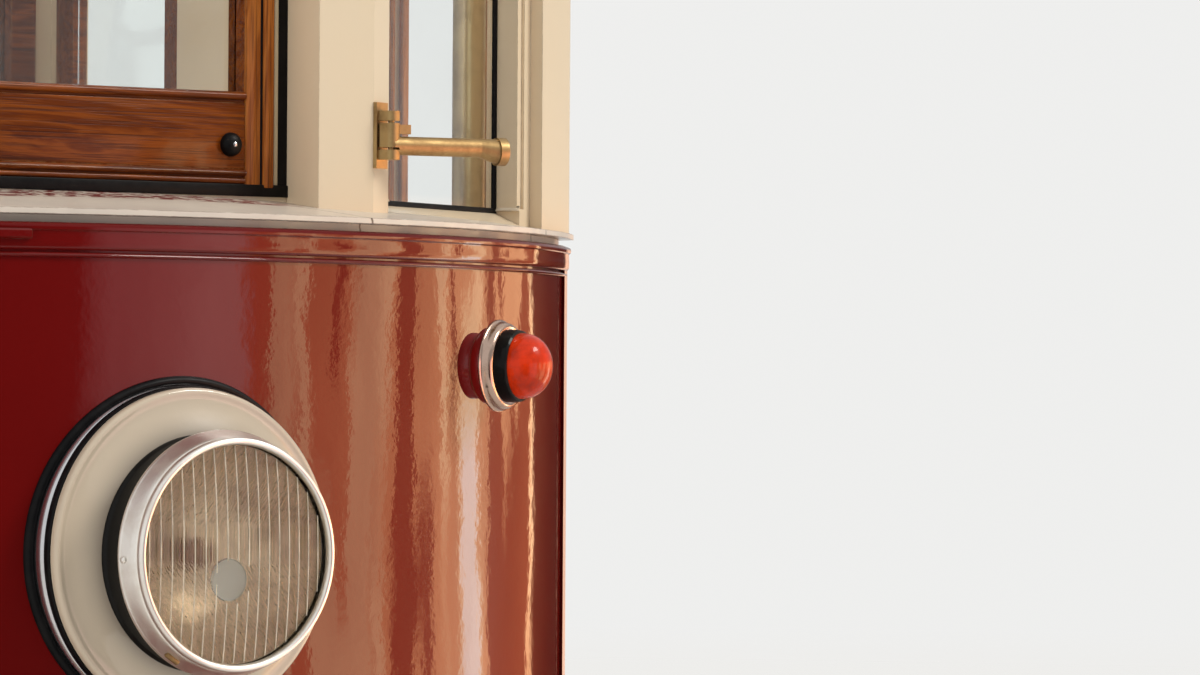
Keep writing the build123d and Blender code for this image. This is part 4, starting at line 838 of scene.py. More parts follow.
def mm(*numbers: float) -> Profile:
    """Pairs in metres from a row of numbers in millimetres."""
    metres = [number / 1000.0 for number in numbers]
    return list(zip(metres[::2], metres[1::2]))


def mesh_of(name: str, bm: bmesh.types.BMesh) -> bpy.types.Mesh:
    """Moves a bmesh into a mesh.

    Args:
        name: the mesh's name.
        bm: the bmesh, which is freed.

    Returns:
        The mesh.
    """
    mesh = bpy.data.meshes.new(name)
    bm.to_mesh(mesh)
    bm.free()
    return mesh


def linked(name: str, data: bpy.types.ID) -> bpy.types.Object:
    """Puts data in the scene.

    Args:
        name: the object's name.
        data: its mesh, lamp or camera.

    Returns:
        The object, at the origin.
    """
    made = bpy.data.objects.new(name, data)
    bpy.context.scene.collection.objects.link(made)
    return made


class Shape:
    """A shape in a small frame of its own, made with bmesh operators."""

    def __init__(self) -> None:
        """Starts empty."""
        self.bm = bmesh.new()

    def soften(self, width: float, segments: int = 2) -> "Shape":
        """Rounds the sharp edges.

        Args:
            width: the rounding's width; nothing is done at 0.
            segments: steps across the rounding.

        Returns:
            The shape itself.
        """
        if width > 0.0:
            edges = [e for e in self.bm.edges if e.is_manifold and e.calc_face_angle(0.0) > SHARP]
            bmesh.ops.bevel(self.bm, geom=edges, offset=width, offset_type="OFFSET", segments=segments,
                            profile=0.5, affect="EDGES", material=-1, clamp_overlap=True)
        return self

    def backed(self, depth: Callable[[Vector], float]) -> "Shape":
        """Gives an open sheet a back.

        Args:
            depth: the height of the back under a point of the sheet.

        Returns:
            The shape itself.
        """
        back = bmesh.ops.extrude_face_region(self.bm, geom=self.bm.faces[:])["geom"]
        for vert in (item for item in back if isinstance(item, bmesh.types.BMVert)):
            vert.co.z = depth(vert.co)
        return self

    @classmethod
    def box(cls, low: Point, high: Point, soft: float = 0.0, segments: int = 2) -> "Shape":
        """A block between two corners.

        Args:
            low: the lowest corner.
            high: the highest corner.
            soft: the rounding of its edges.
            segments: steps across the rounding.

        Returns:
            The block.
        """
        shape = cls()
        size = Vector(high) - Vector(low)
        middle = (Vector(high) + Vector(low)) / 2
        bmesh.ops.create_cube(shape.bm, size=1.0, matrix=Matrix.LocRotScale(middle, None, size))
        return shape.soften(soft, segments)

    @classmethod
    def rod(cls, start: Point, end: Point, radius: float, sides: int = 20, soft: float = 0.0) -> "Shape":
        """A round or many-sided bar.

        Args:
            start: middle of one end.
            end: middle of the other.
            radius: its radius.
            sides: steps round it.
            soft: the rounding of its edges.

        Returns:
            The bar.
        """
        shape = cls()
        run = Vector(end) - Vector(start)
        place = Matrix.LocRotScale((Vector(start) + Vector(end)) / 2, run.to_track_quat("Z", "Y"), None)
        bmesh.ops.create_cone(shape.bm, cap_ends=True, segments=sides, radius1=radius, radius2=radius,
                              depth=run.length, matrix=place)
        return shape.soften(soft)

    @classmethod
    def turned(cls, profile: Profile, sides: int = 64, ring: bool = False) -> "Shape":
        """A shape turned about the Z axis.

        Args:
            profile: (radius, height) pairs, from one end to the other.
            sides: steps round the axis.
            ring: True joins the last pair to the first.

        Returns:
            The turned shape.
        """
        shape = cls()
        verts = [shape.bm.verts.new((radius, 0.0, height)) for radius, height in profile]
        chain = verts + verts[:1] if ring else verts
        edges = [shape.bm.edges.new(pair) for pair in zip(chain, chain[1:])]
        bmesh.ops.spin(shape.bm, geom=verts + edges, cent=(0.0, 0.0, 0.0), axis=(0.0, 0.0, 1.0),
                       angle=math.tau, steps=sides, use_merge=True, use_duplicate=False)
        bmesh.ops.remove_doubles(shape.bm, verts=shape.bm.verts, dist=1e-6)
        return shape

    @classmethod
    def swept(cls, section: Profile, stations: Sequence[Matrix], loop: bool = False) -> "Shape":
        """A closed section carried along stations.

        Args:
            section: (x, y) pairs in the station's own XY plane.
            stations: the section's place at each step.
            loop: True joins the last station to the first, otherwise both ends are closed.

        Returns:
            The swept shape.
        """
        shape = cls()
        bm = shape.bm
        verts = [bm.verts.new((x, y, 0.0)) for x, y in section]
        edges = [bm.edges.new(pair) for pair in zip(verts, verts[1:] + verts[:1])]
        bmesh.ops.transform(bm, matrix=stations[0], verts=verts)
        first = list(edges)
        here = stations[0]
        for there in list(stations[1:]) + ([stations[0]] if loop else []):
            made = bmesh.ops.extrude_edge_only(bm, edges=edges)["geom"]
            verts = [item for item in made if isinstance(item, bmesh.types.BMVert)]
            edges = [item for item in made if isinstance(item, bmesh.types.BMEdge)]
            bmesh.ops.transform(bm, matrix=there @ here.inverted(), verts=verts)
            here = there
        if loop:
            bmesh.ops.remove_doubles(bm, verts=bm.verts, dist=1e-6)
        else:
            bmesh.ops.edgeloop_fill(bm, edges=first)
            bmesh.ops.edgeloop_fill(bm, edges=edges)
        return shape

    @classmethod
    def ball(cls, middle: Point, size: Point) -> "Shape":
        """A rounded knob.

        Args:
            middle: its centre.
            size: its half-axes along X, Y and Z.

        Returns:
            The knob.
        """
        shape = cls()
        bmesh.ops.create_uvsphere(shape.bm, u_segments=24, v_segments=12, radius=1.0,
                                  matrix=Matrix.LocRotScale(Vector(middle), None, Vector(size)))
        return shape


class Piece:
    """A named piece of the car: shapes gathered in one mesh, with its finish, slot and body."""

    def __init__(self, name: str, finish: Finish, slot: str, body: str = BODY, smooth: float = 38.0) -> None:
        """Starts an empty piece.

        Args:
            name: the piece's name.
            finish: what covers it.
            slot: the record's material slot that it goes with; not used.
            body: the body that it rides on.
            smooth: faces that meet at less than this angle in degrees shade as one.
        """
        self.name, self.finish, self.slot, self.body, self.smooth = name, finish, slot, body, smooth
        self.bm = bmesh.new()

    def add(self, shape: Shape, places: Iterable[Matrix] = (STILL,)) -> "Piece":
        """Puts a copy of a shape at each place.

        Args:
            shape: the shape in its own frame.
            places: where copies go; a mirrored place is allowed.

        Returns:
            The piece itself.
        """
        for place in places:
            copy = shape.bm.copy()
            copy.transform(place)
            bmesh.ops.recalc_face_normals(copy, faces=copy.faces)
            mesh = mesh_of("copy", copy)
            self.bm.from_mesh(mesh)
            bpy.data.meshes.remove(mesh)
        return self

    def boxes(self, places: Iterable[Matrix], *boxes: tuple) -> "Piece":
        """Puts blocks at each place.

        Args:
            places: where copies go.
            boxes: blocks, given as Shape.box takes them.

        Returns:
            The piece itself.
        """
        places = tuple(places)
        for box in boxes:
            self.add(Shape.box(*box), places)
        return self

    def done(self, *stands_for: str) -> bpy.types.Object:
        """Makes the object and hangs it on its body.

        Args:
            stands_for: CAD nodes that it takes the place of.

        Returns:
            The finished object.
        """
        mesh = mesh_of(self.name, self.bm)
        mesh.shade_smooth()
        mesh.set_sharp_from_angle(angle=math.radians(self.smooth))
        mesh.materials.append(self.finish.material())
        made = linked(self.name, mesh)
        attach(made, self.body)
        if stands_for:
            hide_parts(*stands_for)
        log.info("piece %s: %d faces on %s", self.name, len(mesh.polygons), self.body)
        return made


@dataclass(frozen=True)
class Turned:
    """A piece that is one profile turned about its place's Z axis, filled at its core unless it is a ring."""

    name: str
    finish: Finish
    slot: str
    profile: Profile
    sides: int = 32
    ring: bool = False
    stands_for: tuple[str, ...] = ()

    def build(self, places: Iterable[Matrix]) -> bpy.types.Object:
        """The piece, with a copy at each place."""
        shape = Shape.turned(self.profile, self.sides, self.ring)
        return Piece(self.name, self.finish, self.slot).add(shape, places).done(*self.stands_for)


def shifted(x: float = 0.0, y: float = 0.0, z: float = 0.0) -> Matrix:
    """A move."""
    return Matrix.Translation((x, y, z))


def turned_z(degrees: float) -> Matrix:
    """A turn about Z."""
    return Matrix.Rotation(math.radians(degrees), 4, "Z")


def heading(x: float, y: float, z: float, toward: Point) -> Matrix:
    """A place whose own Z axis points in a given direction."""
    return shifted(x, y, z) @ Vector(toward).to_track_quat("Z", "Y").to_matrix().to_4x4()


def bearing(azimuth: float, elevation: float = 0.0) -> Vector:
    """A direction, in degrees from the car's front to its right and above the floor."""
    a, e = math.radians(azimuth), math.radians(elevation)
    return Vector((math.sin(a) * math.cos(e), -math.cos(a) * math.cos(e), math.sin(e)))


def station(out: Vector, up: Vector, at: Vector) -> Matrix:
    """Places a section.

    Args:
        out: where its x goes.
        up: where its y goes.
        at: where its origin goes.

    Returns:
        The place.
    """
    place = Matrix((out, up, out.cross(up))).transposed().to_4x4()
    place.translation = at
    return place


def run_stations(start: Point, end: Point, out: Point, up: Point = (0.0, 0.0, 1.0)) -> list[Matrix]:
    """Stations at both ends of a straight run, with the section's x along out and its y along up."""
    return [station(Vector(out).normalized(), Vector(up).normalized(), Vector(point)) for point in (start, end)]


def frame_stations(width: float, height: float, place: Matrix) -> list[Matrix]:
    """Mitred stations round an opening, with the section's x away from it and its y out of the wall.

    Args:
        width: the opening's width along the place's X.
        height: its height along the place's Y.
        place: the opening's lower corner, with Z out of the wall.

    Returns:
        The four corners' stations.
    """
    return [place @ station(Vector((2.0 * u - 1.0, 2.0 * v - 1.0, 0.0)), UP, Vector((u * width, v * height, 0.0)))
            for u, v in ((0, 0), (1, 0), (1, 1), (0, 1))]


def in_order(section: Profile) -> Profile:
    """Sorts a section's points.

    Args:
        section: the points.

    Returns:
        The same points in order round their middle.
    """
    x = sum(p[0] for p in section) / len(section)
    y = sum(p[1] for p in section) / len(section)
    return sorted(section, key=lambda p: math.atan2(p[1] - y, p[0] - x))


def bead(width: float, proud: float, back: float = 0.002) -> Profile:
    """Gives a rounded bead's section.

    Args:
        width: its width along y.
        proud: how far it stands out along x.
        back: how far it is sunk behind its face.

    Returns:
        The section's points.
    """
    turns = [math.pi * step / 6 for step in range(7)]
    front = [(proud * math.sin(turn), -width / 2 * math.cos(turn)) for turn in turns]
    return in_order(front + [(-back, -width / 2), (-back, width / 2)])


def rivet(radius: float, height: float) -> Shape:
    """A domed head on the XY plane, of a few dozen faces."""
    head = ((0.0, 1.0), (0.55, 0.82), (0.92, 0.38), (1.0, -0.3), (0.0, -0.3))
    return Shape.turned([(radius * r, height * z) for r, z in head], 10)


def hex_bolt(across: float, height: float) -> Shape:
    """Makes a hexagon head on its washer, standing on the XY plane.

    Args:
        across: the head's width over its corners.
        height: the head's height.

    Returns:
        The shape.
    """
    shape = Shape.rod((0.0, 0.0, -0.001), (0.0, 0.0, height), across / 2, 6, height * 0.12)
    washer = Shape.rod((0.0, 0.0, -0.001), (0.0, 0.0, height * 0.22), across * 0.72, 14)
    mesh = mesh_of("washer", washer.bm)
    shape.bm.from_mesh(mesh)
    bpy.data.meshes.remove(mesh)
    return shape


# Sub-assemblies

DASH_Y = -3.5
DASH_RADIUS = 1.18
ENTRANCE = shifted(0.9068, -4.1801) @ turned_z(85.31)


def on_dash(angle: float, radius: float, z: float) -> Matrix:
    """A place round the front dash's centre, with Z square out of the dash."""
    return shifted(y=DASH_Y) @ turned_z(angle) @ shifted(0.0, -radius, z) @ FACING


@dataclass(frozen=True)
class Headlights:
    """A headlight at each end: rubber seat, chrome band, domed plate, neck, bezel, fluted glass and bulb."""

    nose_y: float = -4.68
    height: float = 1.18
    glass_radius: float = 0.1365
    glass_edge: float = 0.1115
    glass_thickness: float = 0.0045
    glass_dome: float = 0.011
    glass_rings: int = 26
    eye_radius: float = 0.0250
    eye_side: float = 0.006
    eye_drop: float = 0.0300
    eye_gap: float = 0.001
    ridge_height: float = 0.0010
    ridge_width: float = 0.0025
    flute_pitch: float = 0.0152
    flute_width: float = 0.0014
    flute_rise: float = 0.0005
    flute_sunk: float = 0.0001
    flute_depth: float = 0.0006
    flute_end: float = 0.1300

    @property
    def seats(self) -> list[Matrix]:
        """Where both lamps stand, with Z pointing out of the dash."""
        return [end @ shifted(0.0, self.nose_y, self.height) @ FACING for end in ENDS]

    def build(self) -> None:
        """All of the lamp's pieces."""
        self.seat()
        for part in (
            Turned("headlight_chrome_bands", CHROME, "chrome",
                   mm(190, -22, 204, -20, 205, -8, 204.6, 0, 203.4, 5.2, 201.8, 7.2, 190, 8), 128, True),
            Turned("headlight_dished_plates", PLATE, "lamp_plate",
                   mm(120, 47, 140, 44, 150, 40.5, 160, 36.7, 170, 33, 179, 30.2, 186, 28.8, 190, 28.8, 192.5, 29.8,
                      195, 30, 197.5, 28.8, 199.2, 26.2, 199.8, 22.5, 199.6, 18, 190, 15, 120, 20),
                   128, True, ("headlight_plates",)),
            Turned("headlight_necks", LAMP_DRUM, "lamp_drum",
                   mm(128, 40, 142.4, 40, 143.6, 44, 142.8, 47, 141, 49, 140.4, 52, 140.4, 86, 144, 92, 140, 96,
                      132.5, 96, 132, 40), 96, True, ("headlight_drums",)),
            Turned("headlight_bowls", BOWL, "chrome",
                   mm(0, 6, 30, 7.5, 60, 15, 90, 33, 115, 63, 127.5, 92, 130, 106, 131.5, 106, 129, 88, 116, 59,
                      90, 29, 60, 11, 0, 3), 96),
            Turned("headlight_bulbs", BULB, "lamp_glass",
                   mm(0, 46, 10, 44.5, 17, 39, 20, 31, 18, 24, 14, 21, 12, 19, 0, 19)),
            Turned("headlight_bulb_caps", BRASS, "brass", mm(0, 22, 13, 22, 14.5, 19, 14.5, 6.5, 0, 6.5)),
        ):
            part.build(self.seats)
        self.bezel()
        self.glass()
        self.flutes()

    def seat(self) -> None:
        """Black rubber ring that follows the dash's curve, and a thin seal inside it."""
        ring = Shape.turned(mm(176, -8, 210.5, -8, 213.2, -3, 213.8, 1, 212.4, 4.5, 209.5, 6.6, 206, 6.6, 203.6, 5,
                               202.6, 2, 176, 0), 128, True)
        for vert in ring.bm.verts:
            vert.co.z -= DASH_RADIUS - math.sqrt(DASH_RADIUS ** 2 - vert.co.x ** 2)
        seal = Shape.turned(mm(190, 6.8, 201.2, 6.8, 202.2, 8.5, 202.2, 16.5, 200.8, 18.5, 190, 19), 128, True)
        seats = Piece("headlight_rubber_seats", RUBBER, "rubber").add(ring, self.seats)
        seats.add(seal, self.seats).done("headlight_gaskets")

    def bezel(self) -> None:
        """Plated bezel with a sloping side, a front ridge and an inner rim, its screw and its hinge pin."""
        ring = mm(140, 85, 148.2, 85.6, 149.4, 87.2, 149.4, 89.5, 148.4, 91.2, 147.8, 93, 146.2, 98.5, 144, 106,
                  142, 112, 141, 114, 140.4, 114.6, 140.8, 116.8, 140.8, 119.6, 139.8, 122.2, 138, 124, 135.8, 124.6,
                  133.8, 123.8, 132.2, 121.8, 131.4, 119, 131.4, 116, 137.2, 113.2, 138, 90)
        screw = turned_z(182.0) @ heading(0.1480, 0.0, 0.0965, (1.0, 0.0, 0.25))
        pin = turned_z(-123.0) @ shifted(0.1462)
        made = Piece("headlight_plated_bezels", NICKEL, "chrome").add(Shape.turned(ring, 160, True), self.seats)
        made.add(rivet(0.0042, 0.0030), [seat @ screw for seat in self.seats]).done("headlight_bezels")
        Piece("headlight_hinge_pins", BRASS, "brass").add(
            Shape.rod((0.0, -0.010, 0.1), (0.0, 0.010, 0.1), 0.0038, 14, 0.001),
            [seat @ pin for seat in self.seats]).done()

    def flutes(self) -> None:
        """Fine upright ribs on the glass, parted by the eye; their pale opaque finish paints the ribs' highlights."""
        made = Piece("headlight_glass_flutes", FLUTE_HIGHLIGHT, "lamp_glass", smooth=GLASS_SMOOTH)
        for number in range(-8, 9):
            middle = number * self.flute_pitch
            reach = math.sqrt(self.flute_end ** 2 - middle ** 2)
            rib = Shape()
            bmesh.ops.create_grid(rib.bm, x_segments=2, y_segments=36, size=0.5)
            for vert in rib.bm.verts:
                across, along = vert.co.x * 2.0, vert.co.y * 2.0
                x, y = middle + across * self.flute_width / 2.0, along * reach
                rise = self.flute_rise * (1.0 - across * across)
                vert.co = (x, y, self.glass_edge + self.crown(x, y) + rise - self.flute_sunk)
            over = [face for face in rib.bm.faces if self.from_eye(*face.calc_center_median()[:2])
                    < self.eye_radius + self.eye_gap]
            bmesh.ops.delete(rib.bm, geom=over, context="FACES")
            made.add(rib.backed(lambda co: co.z - self.flute_depth), self.seats)
        made.done()

    def glass(self) -> None:
        """Pressed glass: a shallow dome with a round eye; its stipple is in the finish."""
        lens = Shape()
        bmesh.ops.create_circle(lens.bm, cap_ends=True, radius=self.glass_radius, segments=96)
        for _ in range(self.glass_rings):
            rim = [face for face in lens.bm.faces if len(face.verts) > 4]
            bmesh.ops.inset_region(lens.bm, faces=rim, thickness=self.glass_radius / (self.glass_rings + 1),
                                   use_even_offset=True)
        for vert in lens.bm.verts:
            off = (self.from_eye(*vert.co[:2]) - self.eye_radius) / self.ridge_width
            ridge = self.ridge_height * math.exp(-off ** 2)
            vert.co.z = self.glass_edge + self.crown(*vert.co[:2]) + ridge
        lens.backed(lambda co: self.glass_edge - self.glass_thickness + self.crown(co.x, co.y))
        Piece("headlight_fluted_glasses", LAMP_GLASS, "lamp_glass", smooth=GLASS_SMOOTH).add(
            lens, self.seats).done("headlight_glasses")

    def from_eye(self, x: float, y: float) -> float:
        """How far a point of the lens is from its eye's centre."""
        return math.hypot(x + self.eye_side, y + self.eye_drop)

    def crown(self, x: float, y: float) -> float:
        """The dome's rise at a point of the lens."""
        return self.glass_dome * (1.0 - (x * x + y * y) / self.glass_radius ** 2)


@dataclass(frozen=True)
class MarkerLamps:
    """Four red marker lamps: stepped cup, stepped plated ring, black collar and orange-red dome."""

    angle: float = 26.69
    height: float = 1.411

    def build(self) -> None:
        """Cups, rings, collars, lenses and their screws, kept out of the dash's mirror image."""
        seats = [end @ on_dash(side.value * self.angle, DASH_RADIUS, self.height) for end in ENDS for side in Side]
        crown = [math.pi / 2 * step / 12 for step in range(12)]
        dome = mm(0, 67, 41.8, 67.5) + [(0.0420 * math.cos(t), 0.0725 + 0.0365 * math.sin(t)) for t in crown]
        parts = (
            Turned("marker_lamp_cups", CUP, "marker_cup",
                   mm(0, -6, 42, -6, 42.5, 0, 42, 12, 40.8, 15, 41.2, 16.5, 45.5, 18, 48.8, 21.5, 49.8, 26, 50, 34,
                      48, 38, 0, 38), 64, False, ("marker_lamps",)),
            Turned("marker_lamp_rings", RING_PAINTED_REFLECTION, "chrome",
                   mm(44, 36, 57.5, 36, 59, 36.8, 59.4, 38, 59, 39.2, 57.5, 40, 56.6, 41.2, 56, 45, 54.8, 49.2,
                      52.8, 52, 50.2, 53, 48, 52.2, 46.8, 50, 44, 49), 72, True),
            Turned("marker_lamp_collars", LAMP_DRUM, "rubber",
                   mm(0, 48, 46.4, 48, 46.6, 62, 45.6, 68, 43.2, 70, 41.8, 69, 0, 69), 64),
            Turned("marker_lamp_domes", SIGNAL, "marker_lens", dome + [(0.0, 0.1090)], 64, False,
                   ("marker_lenses",)))
        pins = [seat @ turned_z(20.0) @ shifted(0.022, 0.0, 0.1026) for seat in seats]
        screws = Piece("marker_lamp_dome_screws", RUBBER, "rubber").add(rivet(0.0024, 0.0012), pins).done()
        for made in [part.build(seats) for part in parts] + [screws]:
            made.visible_glossy = False


@dataclass(frozen=True)
class DashTrim:
    """Mouldings on both dashes: top and foot bands with their beads, corner beads, sign rail and foot bolts."""

    corner: float = 49.3
    sign: tuple[float, float] = (-31.0, -10.3)
    top: float = 1.576
    foot: float = 0.72
    band: float = 0.0338
    step: float = 1.4

    def around(self, section: Profile, z: float, low: float, high: float) -> Shape:
        """A moulding on the dash's arc.

        Args:
            section: its section, from the dash's face.
            z: its height.
            low: where it starts, in degrees from the car's front, to its right.
            high: where it ends.

        Returns:
            The moulding.
        """
        outs = [bearing(angle) for angle in spread(low, high, round((high - low) / self.step) + 1)]
        return Shape.swept([(x, y + z) for x, y in section],
                           [station(out, UP, out * DASH_RADIUS + AHEAD * DASH_Y) for out in outs])

    def build(self) -> None:
        """All the dash's mouldings in the dash's red, then its fastenings."""
        band = mm(-2, 33.8, 6.2, 33.8, 8.8, 31.8, 9.6, 28.5, 8.8, 25.2, 7, 23.8, 6.6, 22, 7, 12, 6.6, 5, 5.2, 2.2,
                  3, 1, -2, 0.8)
        rail = mm(4, -6, 13.5, -6, 15.5, -4, 15.5, 4, 13.5, 6, 4, 6)
        made = Piece("dash_mouldings", RED, "red_panels")
        for section, z in ((band, self.top - self.band), (bead(0.0064, 0.0046), self.top - 0.0385),
                           ([(x, self.band - y) for x, y in band], self.foot)):
            made.add(self.around(section, z, -self.corner, self.corner), ENDS)
        made.add(self.around(rail, self.top - 0.0145, *self.sign), ENDS)
        made.add(self.corner_bead(), QUARTERS).done()
        bolts = [end @ on_dash(angle, DASH_RADIUS + 0.0068, self.foot + 0.016)
                 for end in ENDS for angle in range(-45, 46, 9)]
        Piece("dash_foot_bolts", RED, "red_panels").add(rivet(0.0062, 0.0036), bolts).done()

    def corner_bead(self) -> Shape:
        """The upright round bead that covers a dash corner."""
        x, y, _ = bearing(49.7) * DASH_RADIUS + Vector((-0.003, DASH_Y + 0.0065, 0.0))
        return Shape.rod((x, y, self.foot), (x, y, self.top), 0.0088, 28, 0.002)


@dataclass(frozen=True)
class CentreWindows:
    """The varnished drop windows at both ends: rail and stile faces, mouldings, putty, rubber buttons."""

    face_y: float = -4.464
    half: float = 0.300
    low: float = 1.633
    high: float = 2.490
    stile: float = 0.066
    foot_rail: float = 0.122
    head_rail: float = 0.066

    def build(self) -> None:
        """Boards over the CAD sash, then the mouldings, near-black strips of painted shade in the gaps, and the
        fittings.
        """
        y, low, high, half = self.face_y, self.low, self.high, self.half
        top = low + self.foot_rail
        inner = half - self.stile
        across = Piece("centre_sash_rails", WOOD, "varnished_wood").boxes(
            ENDS, ((-inner, y - 0.003, low + 0.024), (inner, y + 0.002, top - 0.014), 0.0016),
            ((-half, y - 0.003, high - self.head_rail), (half, y + 0.002, high), 0.0016))
        for z, width, proud in ((low + 0.0195, 0.0100, 0.0075), (low + 0.0095, 0.0080, 0.0050),
                                (top - 0.0055, 0.0110, 0.0065)):
            stations = run_stations((-inner, y, z), (inner, y, z), (0.0, -1.0, 0.0))
            across.add(Shape.swept(bead(width, proud, 0.003), stations), ENDS)
        across.done()
        Piece("centre_sash_stiles", WOOD_UP, "varnished_wood").boxes(
            QUARTERS, ((inner, y - 0.0034, low), (inner + 0.0235, y + 0.002, high - self.head_rail), 0.0022),
            ((inner + 0.0275, y - 0.0050, low), (inner + 0.0440, y + 0.002, high), 0.0042, 3)).done()
        Piece("centre_sash_putty", PUTTY, "cream_frames").boxes(
            QUARTERS, ((inner + 0.0455, y - 0.0010, low), (inner + 0.0520, y + 0.003, high), 0.0012)).done()
        # painted shade: near-black strips stand for the shadow in the gaps beside the stiles and under the sash
        Piece("centre_sash_gaps", SHADOW_GAP, "rubber").boxes(
            QUARTERS, ((inner + 0.0232, y - 0.0012, low), (inner + 0.0280, y + 0.003, high)),
            ((inner + 0.0518, y - 0.0008, low), (half, y + 0.003, high))).boxes(
            ENDS, ((-half, y - 0.0040, low - 0.010), (half, y + 0.004, low + 0.0052), 0.001)).done()
        buttons = [quarter @ shifted(0.2115, y - 0.002, low + 0.0545) @ FACING for quarter in QUARTERS]
        Turned("centre_sash_buttons", RUBBER, "rubber",
               mm(0, 12.5, 6, 12, 11.5, 9.8, 14.8, 5.5, 15.5, 0, 0, 0)).build(buttons)
        pins = [place @ shifted(z=0.0122) for place in buttons]
        Piece("centre_sash_button_pins", CHROME, "chrome").add(rivet(0.0034, 0.0016), pins).done()


@dataclass(frozen=True)
class CornerWindows:
    """Black rubber strips round the glass of the four corner windows."""

    origin: Point = (0.385, -4.535, 0.0)
    turn: float = 26.57
    start: float = 0.041
    width: float = 0.3765
    low: float = 1.619
    high: float = 2.490
    glass_in: float = 0.039

    def build(self) -> None:
        """A thin rubber frame on each glass."""
        corner = shifted(*self.origin) @ turned_z(self.turn) @ shifted(self.start, self.glass_in, self.low) @ FACING
        rubber = in_order(mm(2, -3, -4.5, -3, -5.2, 1, -3.5, 4.5, 2, 5))
        strip = Shape.swept(rubber, frame_stations(self.width, self.high - self.low, corner), True)
        Piece("corner_window_rubbers", RUBBER, "rubber", smooth=BEAD_SMOOTH).add(strip, QUARTERS).done()


@dataclass(frozen=True)
class Sides:
    """Both long sides: window beads and rubbers, red and cream beads, joint strips and rivets."""

    face: float = 1.075
    half_length: float = 2.80
    windows: int = 5
    first: float = -2.670
    pitch: float = 1.094
    width: float = 0.964
    low: float = 1.633
    high: float = 2.490
    bend_z: float = 1.130
    foot_z: float = 0.790
    rocker: float = 0.045
    foot_rivets: int = 70

    def build(self) -> None:
        """Window trim, then the long beads, then the joint strips with their rivets."""
        self.window_beads()
        red = Piece("side_panel_beads", RED, "red_panels", smooth=BEAD_SMOOTH)
        cream = Piece("side_head_mouldings", CREAM, "cream_frames", smooth=BEAD_SMOOTH)
        for made, z, width, proud in ((red, 1.568, 0.016, 0.007), (red, self.bend_z + 0.004, 0.018, 0.008),
                                      (cream, 2.520, 0.020, 0.009), (cream, 2.655, 0.016, 0.008)):
            stations = run_stations((self.face, -self.half_length, z), (self.face, self.half_length, z),
                                    (1.0, 0.0, 0.0))
            made.add(Shape.swept(bead(width, proud), stations), BOTH)
        cream.done()
        self.joints(red)
        red.done()

    def window_beads(self) -> None:
        """A rounded cream bead and a black rubber line round every saloon window."""
        width = 0.014
        frame_bead = in_order([(y + width / 2, x) for x, y in bead(width, 0.0055)])
        rubber = in_order(mm(1, -34, -4, -34, -5.5, -29, -4, -24, 1, -24))
        beads = Piece("saloon_window_beads", CREAM, "cream_frames", smooth=BEAD_SMOOTH)
        rubbers = Piece("saloon_window_rubbers", RUBBER, "rubber", smooth=BEAD_SMOOTH)
        for index in range(self.windows):
            corner = station(AHEAD, UP, Vector((self.face, self.first + index * self.pitch, self.low)))
            stations = frame_stations(self.width, self.high - self.low, corner)
            beads.add(Shape.swept(frame_bead, stations, True), BOTH)
            rubbers.add(Shape.swept(rubber, stations, True), BOTH)
        beads.done()
        rubbers.done()

    def joints(self, red: Piece) -> None:
        """Adds upright strips down to the rocker, and makes their rivets and the rocker's.

        Args:
            red: the piece that the strips go to.
        """
        drop = self.bend_z - self.foot_z
        outward, sloping = (1.0, 0.0, 0.0), (1.0, 0.0, -self.rocker / drop)
        strip = mm(-2, -16, 2.2, -16, 3.4, -13.5, 3.4, 13.5, 2.2, 16, -2, 16)
        heads = []
        for index in range(1, self.windows):
            y = self.first - (self.pitch - self.width) / 2 + index * self.pitch
            upper = run_stations((self.face, y, self.bend_z + 0.014), (self.face, y, 1.560), outward, AHEAD)
            lower = run_stations((self.face - self.rocker + 0.0005, y, self.foot_z + 0.004),
                                 (self.face, y, self.bend_z - 0.004),
                                 (1.0, 0.0, -self.rocker / math.hypot(self.rocker, drop)), AHEAD)
            red.add(Shape.swept(strip, upper), BOTH).add(Shape.swept(strip, lower), BOTH)
            heads += [heading(self.face + 0.0034, y, z, outward) for z in spread(1.155, 1.545, 7)]
            heads += [heading(self.face + 0.0032 - self.rocker * (self.bend_z - z) / drop, y, z, sloping)
                      for z in spread(0.815, 1.105, 5)]
        reach = self.half_length - 0.03
        heads += [heading(self.face - self.rocker + 0.0022, y, self.foot_z + 0.018, sloping)
                  for y in spread(-reach, reach, self.foot_rivets)]
        Piece("side_panel_rivets", RED, "red_panels").add(
            rivet(0.0058, 0.0030), [flip @ head for flip in BOTH for head in heads]).done()


